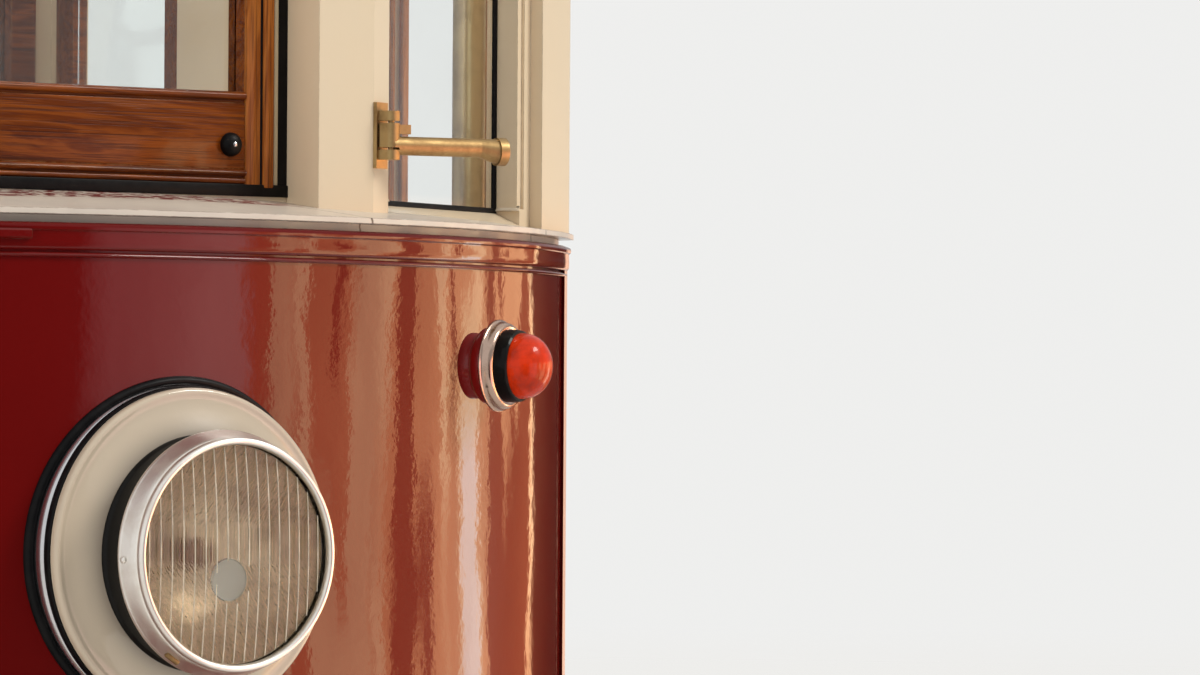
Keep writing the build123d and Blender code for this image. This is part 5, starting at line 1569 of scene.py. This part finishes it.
@dataclass(frozen=True)
class EntranceDoors:
    """Trim of the four folding doors: window and panel beads, kick plates with screws, handles and cups."""

    street: float = 0.012
    inside: float = 0.044
    foot: float = 0.776
    head: float = 2.440
    lock_rail: float = 1.250
    edge: float = 0.046
    outer: tuple[float, float] = (0.018, 0.371)
    inner: tuple[float, float] = (0.377, 0.728)
    grip: tuple[float, float] = (1.305, 1.615)

    def build(self) -> None:
        """Every leaf's trim, riding on the leaf."""
        for name, quarter in zip(("front_right", "front_left", "rear_left", "rear_right"), QUARTERS):
            self.leaf(f"{name}_door_outer_leaf", quarter @ ENTRANCE, *self.outer, True)
            self.leaf(f"{name}_door_inner_leaf", quarter @ ENTRANCE, *self.inner, False)

    def leaf(self, body: str, place: Matrix, low: float, high: float, outer: bool) -> None:
        """One leaf's trim.

        Args:
            body: the leaf's body.
            place: the entrance's own frame, with X backwards along the side and Y inwards.
            low: where the leaf starts along X.
            high: where it ends.
            outer: True for the leaf with the guide pin, which has a finger cup besides its handle.
        """
        width = high - low - 2 * self.edge
        frames = Piece(f"{body}_window_beads", WOOD_UP, "varnished_wood", body, BEAD_SMOOTH)
        panel = Piece(f"{body}_panel_beads", DOOR, "door_paint", body, BEAD_SMOOTH)
        section = in_order(mm(-10, -10, -10, 0.5, -7, 2.5, 6, 2.5, 10, 0, 10, -2, 0, -10))
        for face, out, start in ((self.street, FACING, low + self.edge), (self.inside, BACKING, high - self.edge)):
            for made, z, height in ((frames, self.lock_rail, self.head - self.edge - 0.004 - self.lock_rail),
                                    (panel, self.foot + 0.120, self.lock_rail - self.foot - 0.120 - 0.058)):
                corner = place @ shifted(start, face, z) @ out
                made.add(Shape.swept(section, frame_stations(width, height, corner), True))
        frames.done()
        panel.done()
        screws = [place @ heading(x, self.inside + 0.0014, self.foot + rise, (0.0, 1.0, 0.0))
                  for x in (low + 0.022, (low + high) / 2, high - 0.022) for rise in (0.02, 0.09)]
        Piece(f"{body}_kick_plates", TRACK, "door_track", body).boxes(
            [place], ((low + 0.008, self.inside - 0.0005, self.foot + 0.006),
                      (high - 0.008, self.inside + 0.0016, self.foot + 0.105), 0.0006)).add(
            rivet(0.0042, 0.0015), screws).done()
        x, y = low + (0.024 if outer else 0.040), self.inside
        grip = Piece(f"{body}_handle", BRASS, "brass", body)
        for z in (1.32, 1.60):
            grip.add(Shape.rod((x, y, z), (x, y + 0.030, z), 0.006, 14), [place])
            grip.add(Shape.rod((x, y - 0.0002, z), (x, y + 0.004, z), 0.014, 20, 0.001), [place])
        foot, head = self.grip
        grip.add(Shape.rod((x, y + 0.030, foot), (x, y + 0.030, head), 0.0085, 18, 0.003), [place])
        if outer:
            cup = mm(0, 1.6, 13, 1.8, 16.5, 3.2, 20, 3.2, 21, 1.8, 21, -1, 0, -1)
            grip.add(Shape.turned(cup, 32), [place @ shifted(x + 0.004, self.street + 0.0005, 1.205) @ FACING])
        grip.done()


@dataclass(frozen=True)
class RoofTrim:
    """Roof fittings: rain gutters, vents beside the planks, the cable's conduit with its box, canvas seams."""

    arc_radius: float = 2.032
    crown: float = 3.03
    gutter_x: float = 1.106
    gutter_z: float = 2.712
    half_length: float = 2.80
    vent_x: float = 0.80
    conduit_x: float = 0.66
    seam_reach: float = 0.97

    def skin(self, x: float) -> float:
        """The roof's height at a distance from the middle."""
        return self.crown - self.arc_radius + math.sqrt(self.arc_radius ** 2 - x * x)

    def build(self) -> None:
        """Each kind of fitting as one piece."""
        lip = mm(-6, -8, 12, -8, 16, -5, 16.5, 9, 13.5, 9.5, 12.5, -2, -6, -2)
        stations = run_stations((self.gutter_x, -self.half_length, self.gutter_z),
                                (self.gutter_x, self.half_length, self.gutter_z), (1.0, 0.0, 0.0))
        Piece("roof_rain_gutters", CREAM, "cream_frames").add(Shape.swept(lip, stations), BOTH).done()
        tilt = Matrix.Rotation(math.asin(self.vent_x / self.arc_radius), 4, "Y")
        Turned("roof_vents", ROOF_METAL, "roof",
               mm(0, 78, 30, 76.5, 58, 70, 78, 58, 88, 44, 88, 36, 80, 36, 60, 42, 52, 40, 52, 12, 70, 8, 72, 0,
                  72, -20, 0, -20), 40).build([flip @ shifted(self.vent_x, y, self.skin(self.vent_x)) @ tilt
                                               for flip in BOTH for y in (-2.25, -1.62, 1.62, 2.25)])
        self.conduit()
        seams = Piece("roof_canvas_seams", ROOF, "roof", smooth=BEAD_SMOOTH)
        reach = math.degrees(math.asin(self.seam_reach / self.arc_radius))
        outs = [Matrix.Rotation(math.radians(angle), 3, "Y") @ UP for angle in spread(-reach, reach, 25)]
        for y in (-3.55, -2.35, 2.35, 3.55):
            middle = Vector((0.0, y, self.crown - self.arc_radius))
            seams.add(Shape.swept(mm(-2, -14, 2.2, -12, 2.2, 12, -2, 14),
                                  [station(out, AHEAD, out * self.arc_radius + middle) for out in outs]))
        seams.done()

    def conduit(self) -> None:
        """The collector's cable in its pipe, from the base to the junction box at the front."""
        x, z = self.conduit_x, self.skin(self.conduit_x) + 0.016
        run = Piece("roof_conduit", COLLECTOR, "collector")
        run.add(Shape.rod((x, 0.35, z), (x, -3.62, z), 0.0125, 16))
        run.add(Shape.rod((x, 0.35, z), (0.46, 0.35, self.skin(0.46) + 0.022), 0.0125, 16))
        run.add(Shape.ball((x, 0.35, z), (0.0165, 0.0165, 0.0165)))
        run.boxes((STILL,), ((x - 0.055, -3.80, z - 0.03), (x + 0.055, -3.62, z + 0.045), 0.008, 3))
        for index in range(8):
            y = 0.10 - index * 0.50
            run.boxes((STILL,), ((x - 0.030, y - 0.010, z - 0.022), (x + 0.030, y + 0.010, z - 0.010), 0.002))
            run.add(Shape.rod((x, y - 0.009, z), (x, y + 0.009, z), 0.0165, 16, 0.002))
        run.done()


@dataclass(frozen=True)
class Saloon:
    """Inside the car: brass hand rails with brackets, opal ceiling lamps, and the sliding doors' cups."""

    rail_x: float = 0.52
    rail_z: float = 2.36
    ceiling_z: float = 2.934
    half_length: float = 2.66
    posts: tuple[float, ...] = (-2.17, -1.08, 0.0, 1.08, 2.17)

    def build(self) -> None:
        """Rails first, then the door cups and the lamps."""
        x, z, reach = self.rail_x, self.rail_z, self.half_length
        rails = Piece("saloon_hand_rails", POLE, "poles")
        rails.add(Shape.rod((x, -reach, z), (x, reach, z), 0.0150, 18), BOTH)
        for y in self.posts:
            rails.add(Shape.rod((x, y, z), (x, y, self.ceiling_z + 0.004), 0.0085, 14), BOTH)
            rails.add(Shape.ball((x, y, z), (0.0195, 0.026, 0.0195)), BOTH)
            rails.add(Shape.rod((x, y, self.ceiling_z - 0.008), (x, y, self.ceiling_z + 0.012), 0.024, 20, 0.002),
                      BOTH)
        for y in (-reach, reach):
            rails.add(Shape.ball((x, y, z), (0.0205, 0.018, 0.0205)), BOTH)
        rails.done()
        cup = Shape.turned(mm(0, -0.2, 16, -0.2, 20, 1.2, 22.5, 1.2, 23.5, -1, 0, -1), 32)
        for end, body in zip(ENDS, ("front_bulkhead_door", "rear_bulkhead_door")):
            faces = [end @ shifted(0.302, -2.754, 1.50) @ FACING, end @ shifted(0.302, -2.7305, 1.50) @ BACKING]
            Piece(f"{body}_cups", BRASS, "brass", body).boxes(
                faces, ((-0.026, -0.085, -0.001), (0.026, 0.085, 0.0008), 0.0006)).add(cup, faces).done()
        spots = [shifted(0.0, y, 3.001) for y in (-1.75, 0.0, 1.75)]
        spots += [shifted(0.0, y, 2.7005) for y in (-3.55, 3.55)]
        Turned("ceiling_lamp_rims", BRASS, "brass",
               mm(70, 0, 88, 0, 92, -6, 90, -14, 82, -18, 74, -14, 70, -6), 40, True).build(spots)
        Turned("ceiling_lamp_bowls", OPAL, "lamp_glass",
               mm(0, -62, 30, -59, 55, -48, 72, -30, 78, -12, 78, 0, 0, 0), 40).build(spots)


@dataclass(frozen=True)
class Platforms:
    """Driver's fittings at both ends: the controller's bands and panel screws, and ribbed floor mats."""

    controller: tuple[float, float] = (-0.33, -4.12)

    def build(self) -> None:
        """Controller trim, then the floor mats."""
        stands = [end @ shifted(*self.controller, z) for z in (0.80, 1.62) for end in ENDS]
        Turned("controller_brass_trim", BRASS, "brass",
               mm(149.5, -12, 152.5, -10, 153.2, 0, 152.5, 10, 149.5, 12, 140, 0), 72, True).build(stands)
        screws = [end @ shifted(*self.controller, z) @ turned_z(angle) @ heading(0.1490, 0.0, 0.0, (1.0, 0.0, 0.0))
                  for end in ENDS for z in (0.90, 1.22, 1.54) for angle in (50.0, 70.0, 110.0, 130.0)]
        Piece("controller_panel_screws", BLACK_STEEL, "controllers").add(rivet(0.0055, 0.0030), screws).done()
        ribs = [((-0.62, -4.02 + 0.032 * index, 0.7655), (0.62, -4.006 + 0.032 * index, 0.7695), 0.0012)
                for index in range(16)]
        Piece("platform_mats", RUBBER, "rubber").boxes(
            ENDS, ((-0.64, -4.04, 0.7590), (0.64, -3.50, 0.7660), 0.002), *ribs).done()


@dataclass(frozen=True)
class Ends:
    """Bumper bolts, coupler pins with their rings, and the step boards' treads."""

    bumper_radius: float = 1.2272
    bumper_z: float = 0.655
    step_z: float = 0.41

    def build(self) -> None:
        """Fastenings at the ends, then steel nosing and ribs on the four step boards."""
        bolts = [end @ on_dash(angle, self.bumper_radius - 0.0020, self.bumper_z)
                 for end in ENDS for angle in (-42.0, -27.0, 27.0, 42.0)]
        Piece("bumper_bolts", BLACK_STEEL, "black_steel").add(hex_bolt(0.030, 0.012), bolts).done()
        turns = [math.tau * step / 10 for step in range(10)]
        eye = Shape.turned([(0.020 + 0.0045 * math.cos(t), 0.0045 * math.sin(t)) for t in turns], 24, True)
        pin = Shape.rod((0.0, -4.862, 0.590), (0.0, -4.862, 0.726), 0.013, 20, 0.002)
        Piece("coupler_pins", BLACK_STEEL, "black_steel").add(pin, ENDS).add(
            eye, [end @ shifted(0.0, -4.862, 0.746) @ FACING for end in ENDS]).done()
        Piece("step_treads", BLACK_STEEL, "black_steel").boxes(
            [quarter @ shifted(z=self.step_z) @ ENTRANCE for quarter in QUARTERS],
            ((0.030, -0.0590, -0.014), (0.655, -0.0560, 0.0035), 0.0012),
            *(((0.035, line - 0.004, -0.001), (0.650, line + 0.004, 0.0035), 0.0012)
              for line in (-0.052, -0.030, -0.008, 0.014, 0.036))).done()


@dataclass(frozen=True)
class RunningGear:
    """Fastenings and covers under the car, and the bolts that turn with the wheels."""

    axle_y: float = 1.5
    axle_z: float = 0.412
    box_face: float = 1.028
    plate_face: float = 0.925
    spring_face: float = 0.996
    equipment_face: float = 0.890
    equipment_z: float = 0.585
    hub_face: float = 0.8065
    sole_face: float = 0.950

    def build(self) -> None:
        """Axle-box covers, spring buckles, bolts, rivets and lids."""
        faces = self.corners(self.box_face, self.axle_y, self.axle_z)
        cover = mm(0, 14, 30, 13.5, 55, 10, 62, 6, 78, 5.5, 84, 3, 85, -2, 0, -2)
        rounds = [turned_z(60.0 * step + 30.0) @ shifted(0.070, 0.0, 0.005) for step in range(6)]
        Piece("axle_box_covers", CAST, "cast_steel").add(Shape.turned(cover, 40), faces).add(
            hex_bolt(0.016, 0.008), [face @ turn for face in faces for turn in rounds]).done()
        self.springs()
        plates = [place for y in (0.15, 0.45, 0.75, 1.95, 2.05) for z in (0.565, 0.675)
                  for place in self.corners(self.plate_face, y, z)]
        Piece("truck_frame_bolts", UNDERFRAME, "cast_steel").add(hex_bolt(0.020, 0.010), plates).done()
        soles = [place for index in range(28) for z in (0.655, 0.835)
                 for place in self.corners(self.sole_face, 0.05 + index * 0.10, z)]
        Piece("sole_bar_rivets", UNDERFRAME, "underframe").add(rivet(0.008, 0.004), soles).done()
        for end, body in zip(SIGNS, ("front_wheelset", "rear_wheelset")):
            hubs = [heading(side * self.hub_face, end * self.axle_y, self.axle_z, (side, 0.0, 0.0))
                    @ turned_z(45.0 * step) @ shifted(0.078) for side in SIGNS for step in range(8)]
            Piece(f"{body}_hub_bolts", WHEEL, "wheel_steel", body).add(hex_bolt(0.018, 0.007), hubs).done()
        self.equipment_lids()

    def corners(self, x: float, y: float, z: float) -> list[Matrix]:
        """The same place at the car's four corners, each with Z outwards."""
        return [heading(side * x, end * y, z, (side, 0.0, 0.0)) for side in SIGNS for end in SIGNS]

    def springs(self) -> None:
        """A buckle round the middle of every leaf spring, with two bolts."""
        inner, outer = self.spring_face - 0.070, self.spring_face + 0.010
        bolts = [place @ shifted(y=rise) for place in self.corners(outer, self.axle_y, 0.572)
                 for rise in (-0.024, 0.024)]
        Piece("spring_buckles", CAST, "cast_steel").boxes(
            QUARTERS, ((inner, self.axle_y - 0.032, 0.528), (outer, self.axle_y + 0.032, 0.617), 0.004)).add(
            hex_bolt(0.016, 0.009), bolts).done()

    def equipment_lids(self) -> None:
        """Pressed covers on the equipment boxes' outer faces, with corner bolts and a catch."""
        lids = [heading(side * self.equipment_face, y, self.equipment_z, (side, 0.0, 0.0))
                for side in SIGNS for y in (-0.26, 0.26)]
        bolts = [lid @ shifted(x, z, 0.006) for lid in lids for x in (-0.212, 0.212) for z in (-0.082, 0.082)]
        Piece("equipment_box_lids", UNDERFRAME, "underframe").boxes(
            lids, ((-0.225, -0.095, -0.002), (0.225, 0.095, 0.006), 0.004, 3),
            ((-0.200, -0.070, 0.004), (0.200, 0.070, 0.009), 0.004, 3),
            ((-0.020, -0.012, 0.006), (0.020, 0.012, 0.018), 0.003)).add(hex_bolt(0.016, 0.006), bolts).done()


def finish_nodes() -> None:
    """Gives every CAD node the finish of its material slot."""
    for name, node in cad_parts.items():
        slot = node.data.materials[0].name.split(".")[0]
        node.data.materials.clear()
        node.data.materials.append(SLOT_FINISH[slot].material())
        log.info("node %s: slot %s", name, slot)


# Light, floor and camera

WORLD_GREY: Colour = (0.068, 0.068, 0.068)
BLACK_WING: Colour = (0.005, 0.004, 0.004)
SIDE_WING: Colour = (0.003, 0.001, 0.001)


@dataclass(frozen=True)
class WarmScreen:
    """A curved studio screen beside the right half of the dash, which only glossy paint and metal reflect.

    It goes from a dark wing at the car's front, through a rosy part, to a warm streaky part and a second dark
    wing at the car's side. Its tones are pairs of an angle round the dash and a colour.
    """

    radius: float = 3.0
    low: float = -16.0
    high: float = 116.0
    foot: float = 0.25
    height: float = 2.6
    strength: float = 7.4
    beam: float = 69.0
    beam_top: float = 1.26
    fade: tuple[float, float] = (1.60, 1.72)
    warm_from: tuple[float, float] = (29.5, 31.0)
    warm_to: tuple[float, float] = (90.0, 88.5)
    streak_width: float = 6.5
    streak_dark: Colour = (0.13, 0.03, 0.012)
    streak_gold: Colour = (1.0, 0.66, 0.36)
    beam_pale: Colour = (1.0, 0.88, 0.76)
    tones: tuple[tuple[float, Colour], ...] = (
        (-16.0, WORLD_GREY), (-3.0, BLACK_WING), (9.0, BLACK_WING), (13.0, (0.25, 0.15, 0.15)),
        (28.5, (0.44, 0.27, 0.25)), (30.5, (0.42, 0.10, 0.04)), (50.0, (0.72, 0.32, 0.14)),
        (88.0, (0.56, 0.29, 0.14)), (90.0, SIDE_WING), (105.0, SIDE_WING), (108.0, (0.26, 0.15, 0.10)),
        (116.0, WORLD_GREY),
    )

    def build(self) -> None:
        """The screen, hidden from the camera and without effect on plain light or shadow."""
        bm = bmesh.new()
        start = bearing(self.low) * self.radius
        verts = [bm.verts.new((start.x, start.y, z)) for z in (self.foot, self.foot + self.height)]
        bmesh.ops.spin(bm, geom=verts + [bm.edges.new(verts)], cent=(0.0, 0.0, 0.0), axis=(0.0, 0.0, 1.0),
                       angle=math.radians(self.high - self.low), steps=96)
        mesh = mesh_of("warm_screen", bm)
        mesh.transform(shifted(y=DASH_Y))
        mesh.materials.append(self.material())
        screen = linked("warm_screen", mesh)
        screen.visible_camera = screen.visible_diffuse = screen.visible_transmission = False
        screen.visible_shadow = screen.visible_volume_scatter = False

    def material(self) -> bpy.types.Material:
        """Bands that run up the screen, wandering a little."""
        made, graph = new_material("warm_screen_glow")
        x, y, z = graph.axes(graph.node("TexCoord").outputs["Object"])
        angle = graph.math("ARCTAN2", x, DASH_Y - y) * (180.0 / math.pi)
        angle = angle + graph.noise(graph.place((0.6, 0.6, 1.1)), 1.3, 3.0, 0.5).span(0.3, 0.7, -1.4, 1.4)
        ramp = graph.fill(graph.node("ValToRGB"), {0: angle.span(self.low, self.high)})
        stops = ramp.color_ramp.elements
        for index, (degrees, colour) in enumerate(self.tones):
            position = (degrees - self.low) / (self.high - self.low)
            stop = stops[index] if index < 2 else stops.new(position)
            stop.position, stop.color = position, (*colour, 1.0)
        warm = angle.span(*self.warm_from) * angle.span(*self.warm_to)
        flow = graph.fill(graph.node("CombineXYZ"), {"X": angle / self.streak_width, "Z": z * 0.45}).outputs[0]
        streak = graph.noise(flow, 1.0, 2.5, 0.55, 0.5)
        pale = abs(angle - self.beam).span(1.6, 2.3, 1.0, 0.0)
        pale = pale * z.span(self.beam_top, self.beam_top + 0.12, 1.0, 0.0)
        colour = graph.layers(ramp.outputs["Color"], (warm * streak.span(0.555, 0.585), self.streak_dark),
                              (warm * streak.span(0.475, 0.42, 0.0, 0.85), self.streak_gold),
                              (pale, self.beam_pale), (z.span(*self.fade), WORLD_GREY))
        cloud = graph.noise(graph.place((1.0, 1.0, 0.5)), 2.6, 4.0, 0.6)
        power = cloud.span(0.3, 0.7, 0.75 * self.strength, 1.2 * self.strength)
        glow = graph.fill(graph.node("Emission"), {"Color": colour, "Strength": power})
        graph.fill(graph.node("OutputMaterial"), {"Surface": glow.outputs[0]})
        return made


@dataclass(frozen=True)
class Studio:
    """Plain pale floor that fades into a plain pale world, with soft lamps."""

    pale: Colour = (0.86, 0.86, 0.85)
    world_strength: float = 0.50
    floor_radius: float = 60.0
    fade_start: float = 9.0
    fade_end: float = 26.0
    sun_colour: Colour = (1.0, 0.95, 0.88)
    cabin_colour: Colour = (1.0, 0.96, 0.90)
    cabin_z: float = 2.66

    def build(self) -> None:
        """Sets the view transform, the world, the floor and the lamps."""
        bpy.context.scene.view_settings.view_transform = "Standard"
        self.world()
        self.floor()
        self.sun("key_light", 48.0, 40.0, 1.86, 20.0)
        self.sun("fill_light", -78.0, 22.0, 0.9, 28.0).visible_glossy = False
        WarmScreen().build()
        for index, (y, length, width, radiance) in enumerate(
                ((-3.75, 0.9, 1.1, 4.6), (0.0, 4.8, 0.9, 1.8), (3.75, 0.9, 1.1, 4.6))):
            self.cabin_light(f"cabin_light_{index}", y, length, width, radiance)

    def cabin_light(self, name: str, y: float, length: float, width: float, radiance: float) -> None:
        """Hangs a soft lamp under the ceiling, so that the inside shows through the windows.

        Args:
            name: the lamp's name.
            y: where its middle is.
            length: its length along the car.
            width: its width.
            radiance: its brightness per area.
        """
        data = bpy.data.lights.new(name, "AREA")
        data.shape = "RECTANGLE"
        data.size, data.size_y = width, length
        data.color = self.cabin_colour
        data.energy = radiance * math.pi * width * length
        lamp = linked(name, data)
        lamp.location = (0.0, y, self.cabin_z)
        lamp.visible_camera = lamp.visible_glossy = False

    def world(self) -> None:
        """A world that lights at one level and shows a pale background behind the car."""
        world = bpy.data.worlds.new("pale_studio")
        world.use_nodes = True
        bpy.context.scene.world = world
        graph = Graph(world.node_tree)
        rays = graph.node("LightPath").outputs
        seen = graph.math("MAXIMUM", rays["Is Camera Ray"], rays["Is Transmission Ray"])
        seen = graph.math("MAXIMUM", seen, rays["Is Glossy Ray"])
        light, shown = (graph.fill(graph.node("Background"), {"Color": colour, "Strength": strength})
                        for colour, strength in (((1.0, 1.0, 1.0), self.world_strength), (self.pale, 1.0)))
        graph.fill(graph.node("OutputWorld"), {"Surface": graph.mix(seen, light, shown)})

    def floor(self) -> None:
        """A round pale floor at the wheels' lowest point, clear at its far edge."""
        bm = bmesh.new()
        bmesh.ops.create_circle(bm, cap_ends=True, radius=self.floor_radius, segments=96)
        mesh = mesh_of("studio_floor", bm)
        made, graph = new_material("studio_floor_paint")
        place = graph.node("TexCoord").outputs["Object"]
        far = graph.fill(graph.node("VectorMath", operation="LENGTH"), {0: place}).outputs["Value"]
        paint = graph.fill(graph.node("BsdfDiffuse"), {"Color": self.pale})
        fade = Value(graph, far).span(self.fade_start, self.fade_end)
        graph.fill(graph.node("OutputMaterial"), {"Surface": graph.mix(fade, paint, graph.node("BsdfTransparent"))})
        mesh.materials.append(made)
        linked("studio_floor", mesh)

    def sun(self, name: str, azimuth: float, elevation: float, strength: float, softness: float) -> bpy.types.Object:
        """One soft light from far away.

        Args:
            name: the lamp's name.
            azimuth: degrees from the car's front, to its right.
            elevation: degrees above the floor.
            strength: its strength.
            softness: its apparent width in degrees.

        Returns:
            The lamp.
        """
        data = bpy.data.lights.new(name, "SUN")
        data.energy = strength
        data.angle = math.radians(softness)
        data.color = self.sun_colour
        lamp = linked(name, data)
        lamp.rotation_mode = "QUATERNION"
        lamp.rotation_quaternion = bearing(azimuth, elevation).to_track_quat("Z", "Y")
        return lamp


@dataclass(frozen=True)
class Viewpoint:
    """The photograph's camera: a long lens at the car's front left, about as high as the dash."""

    azimuth: float = -37.8
    elevation: float = -0.67
    roll: float = 0.36
    focal_px: float = 5909.0
    image_px: tuple[float, float] = (1200.0, 675.0)
    aim_px: tuple[float, float] = (191.0, 552.9)
    aim_depth: float = 7.138
    plate_dome: float = 0.016
    sensor: float = 36.0

    def build(self) -> None:
        """Places the camera so that the headlight plate's rim falls on its pixel."""
        back = bearing(self.azimuth, self.elevation)
        level = Vector((math.cos(math.radians(self.azimuth)), math.sin(math.radians(self.azimuth)), 0.0))
        roll = math.radians(self.roll)
        right = math.cos(roll) * level + math.sin(roll) * back.cross(level)
        up = math.cos(roll) * back.cross(level) - math.sin(roll) * level
        low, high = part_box("headlight_plates")
        rim = Vector((0.0, low.y + self.plate_dome, (low.z + high.z) / 2))
        metres = self.aim_depth / self.focal_px
        across = (self.aim_px[0] - self.image_px[0] / 2) * metres
        above = (self.image_px[1] / 2 - self.aim_px[1]) * metres
        data = bpy.data.cameras.new("viewpoint")
        data.sensor_width = self.sensor
        data.lens = self.focal_px * self.sensor / self.image_px[0]
        data.clip_start, data.clip_end = 0.1, 500.0
        camera = linked("viewpoint", data)
        place = Matrix((right, up, back)).transposed().to_4x4()
        place.translation = rim - across * right - above * up + self.aim_depth * back
        camera.matrix_world = place
        bpy.context.scene.camera = camera
        log.info("camera at %s, lens %.1f mm", tuple(round(v, 3) for v in place.translation), data.lens)


def main() -> None:
    """Builds the looks in order, and reports each piece."""
    logging.basicConfig(level=logging.INFO, format="%(name)s: %(message)s")
    Studio().build()
    Viewpoint().build()
    finish_nodes()
    for part in (Headlights(), MarkerLamps(), DashTrim(), CentreWindows(), CornerWindows(), Sides(),
                 EntranceDoors(), RoofTrim(), Saloon(), Platforms(), Ends(), RunningGear()):
        log.info("building %s", type(part).__name__)
        part.build()


if __name__ == "__main__":
    main()
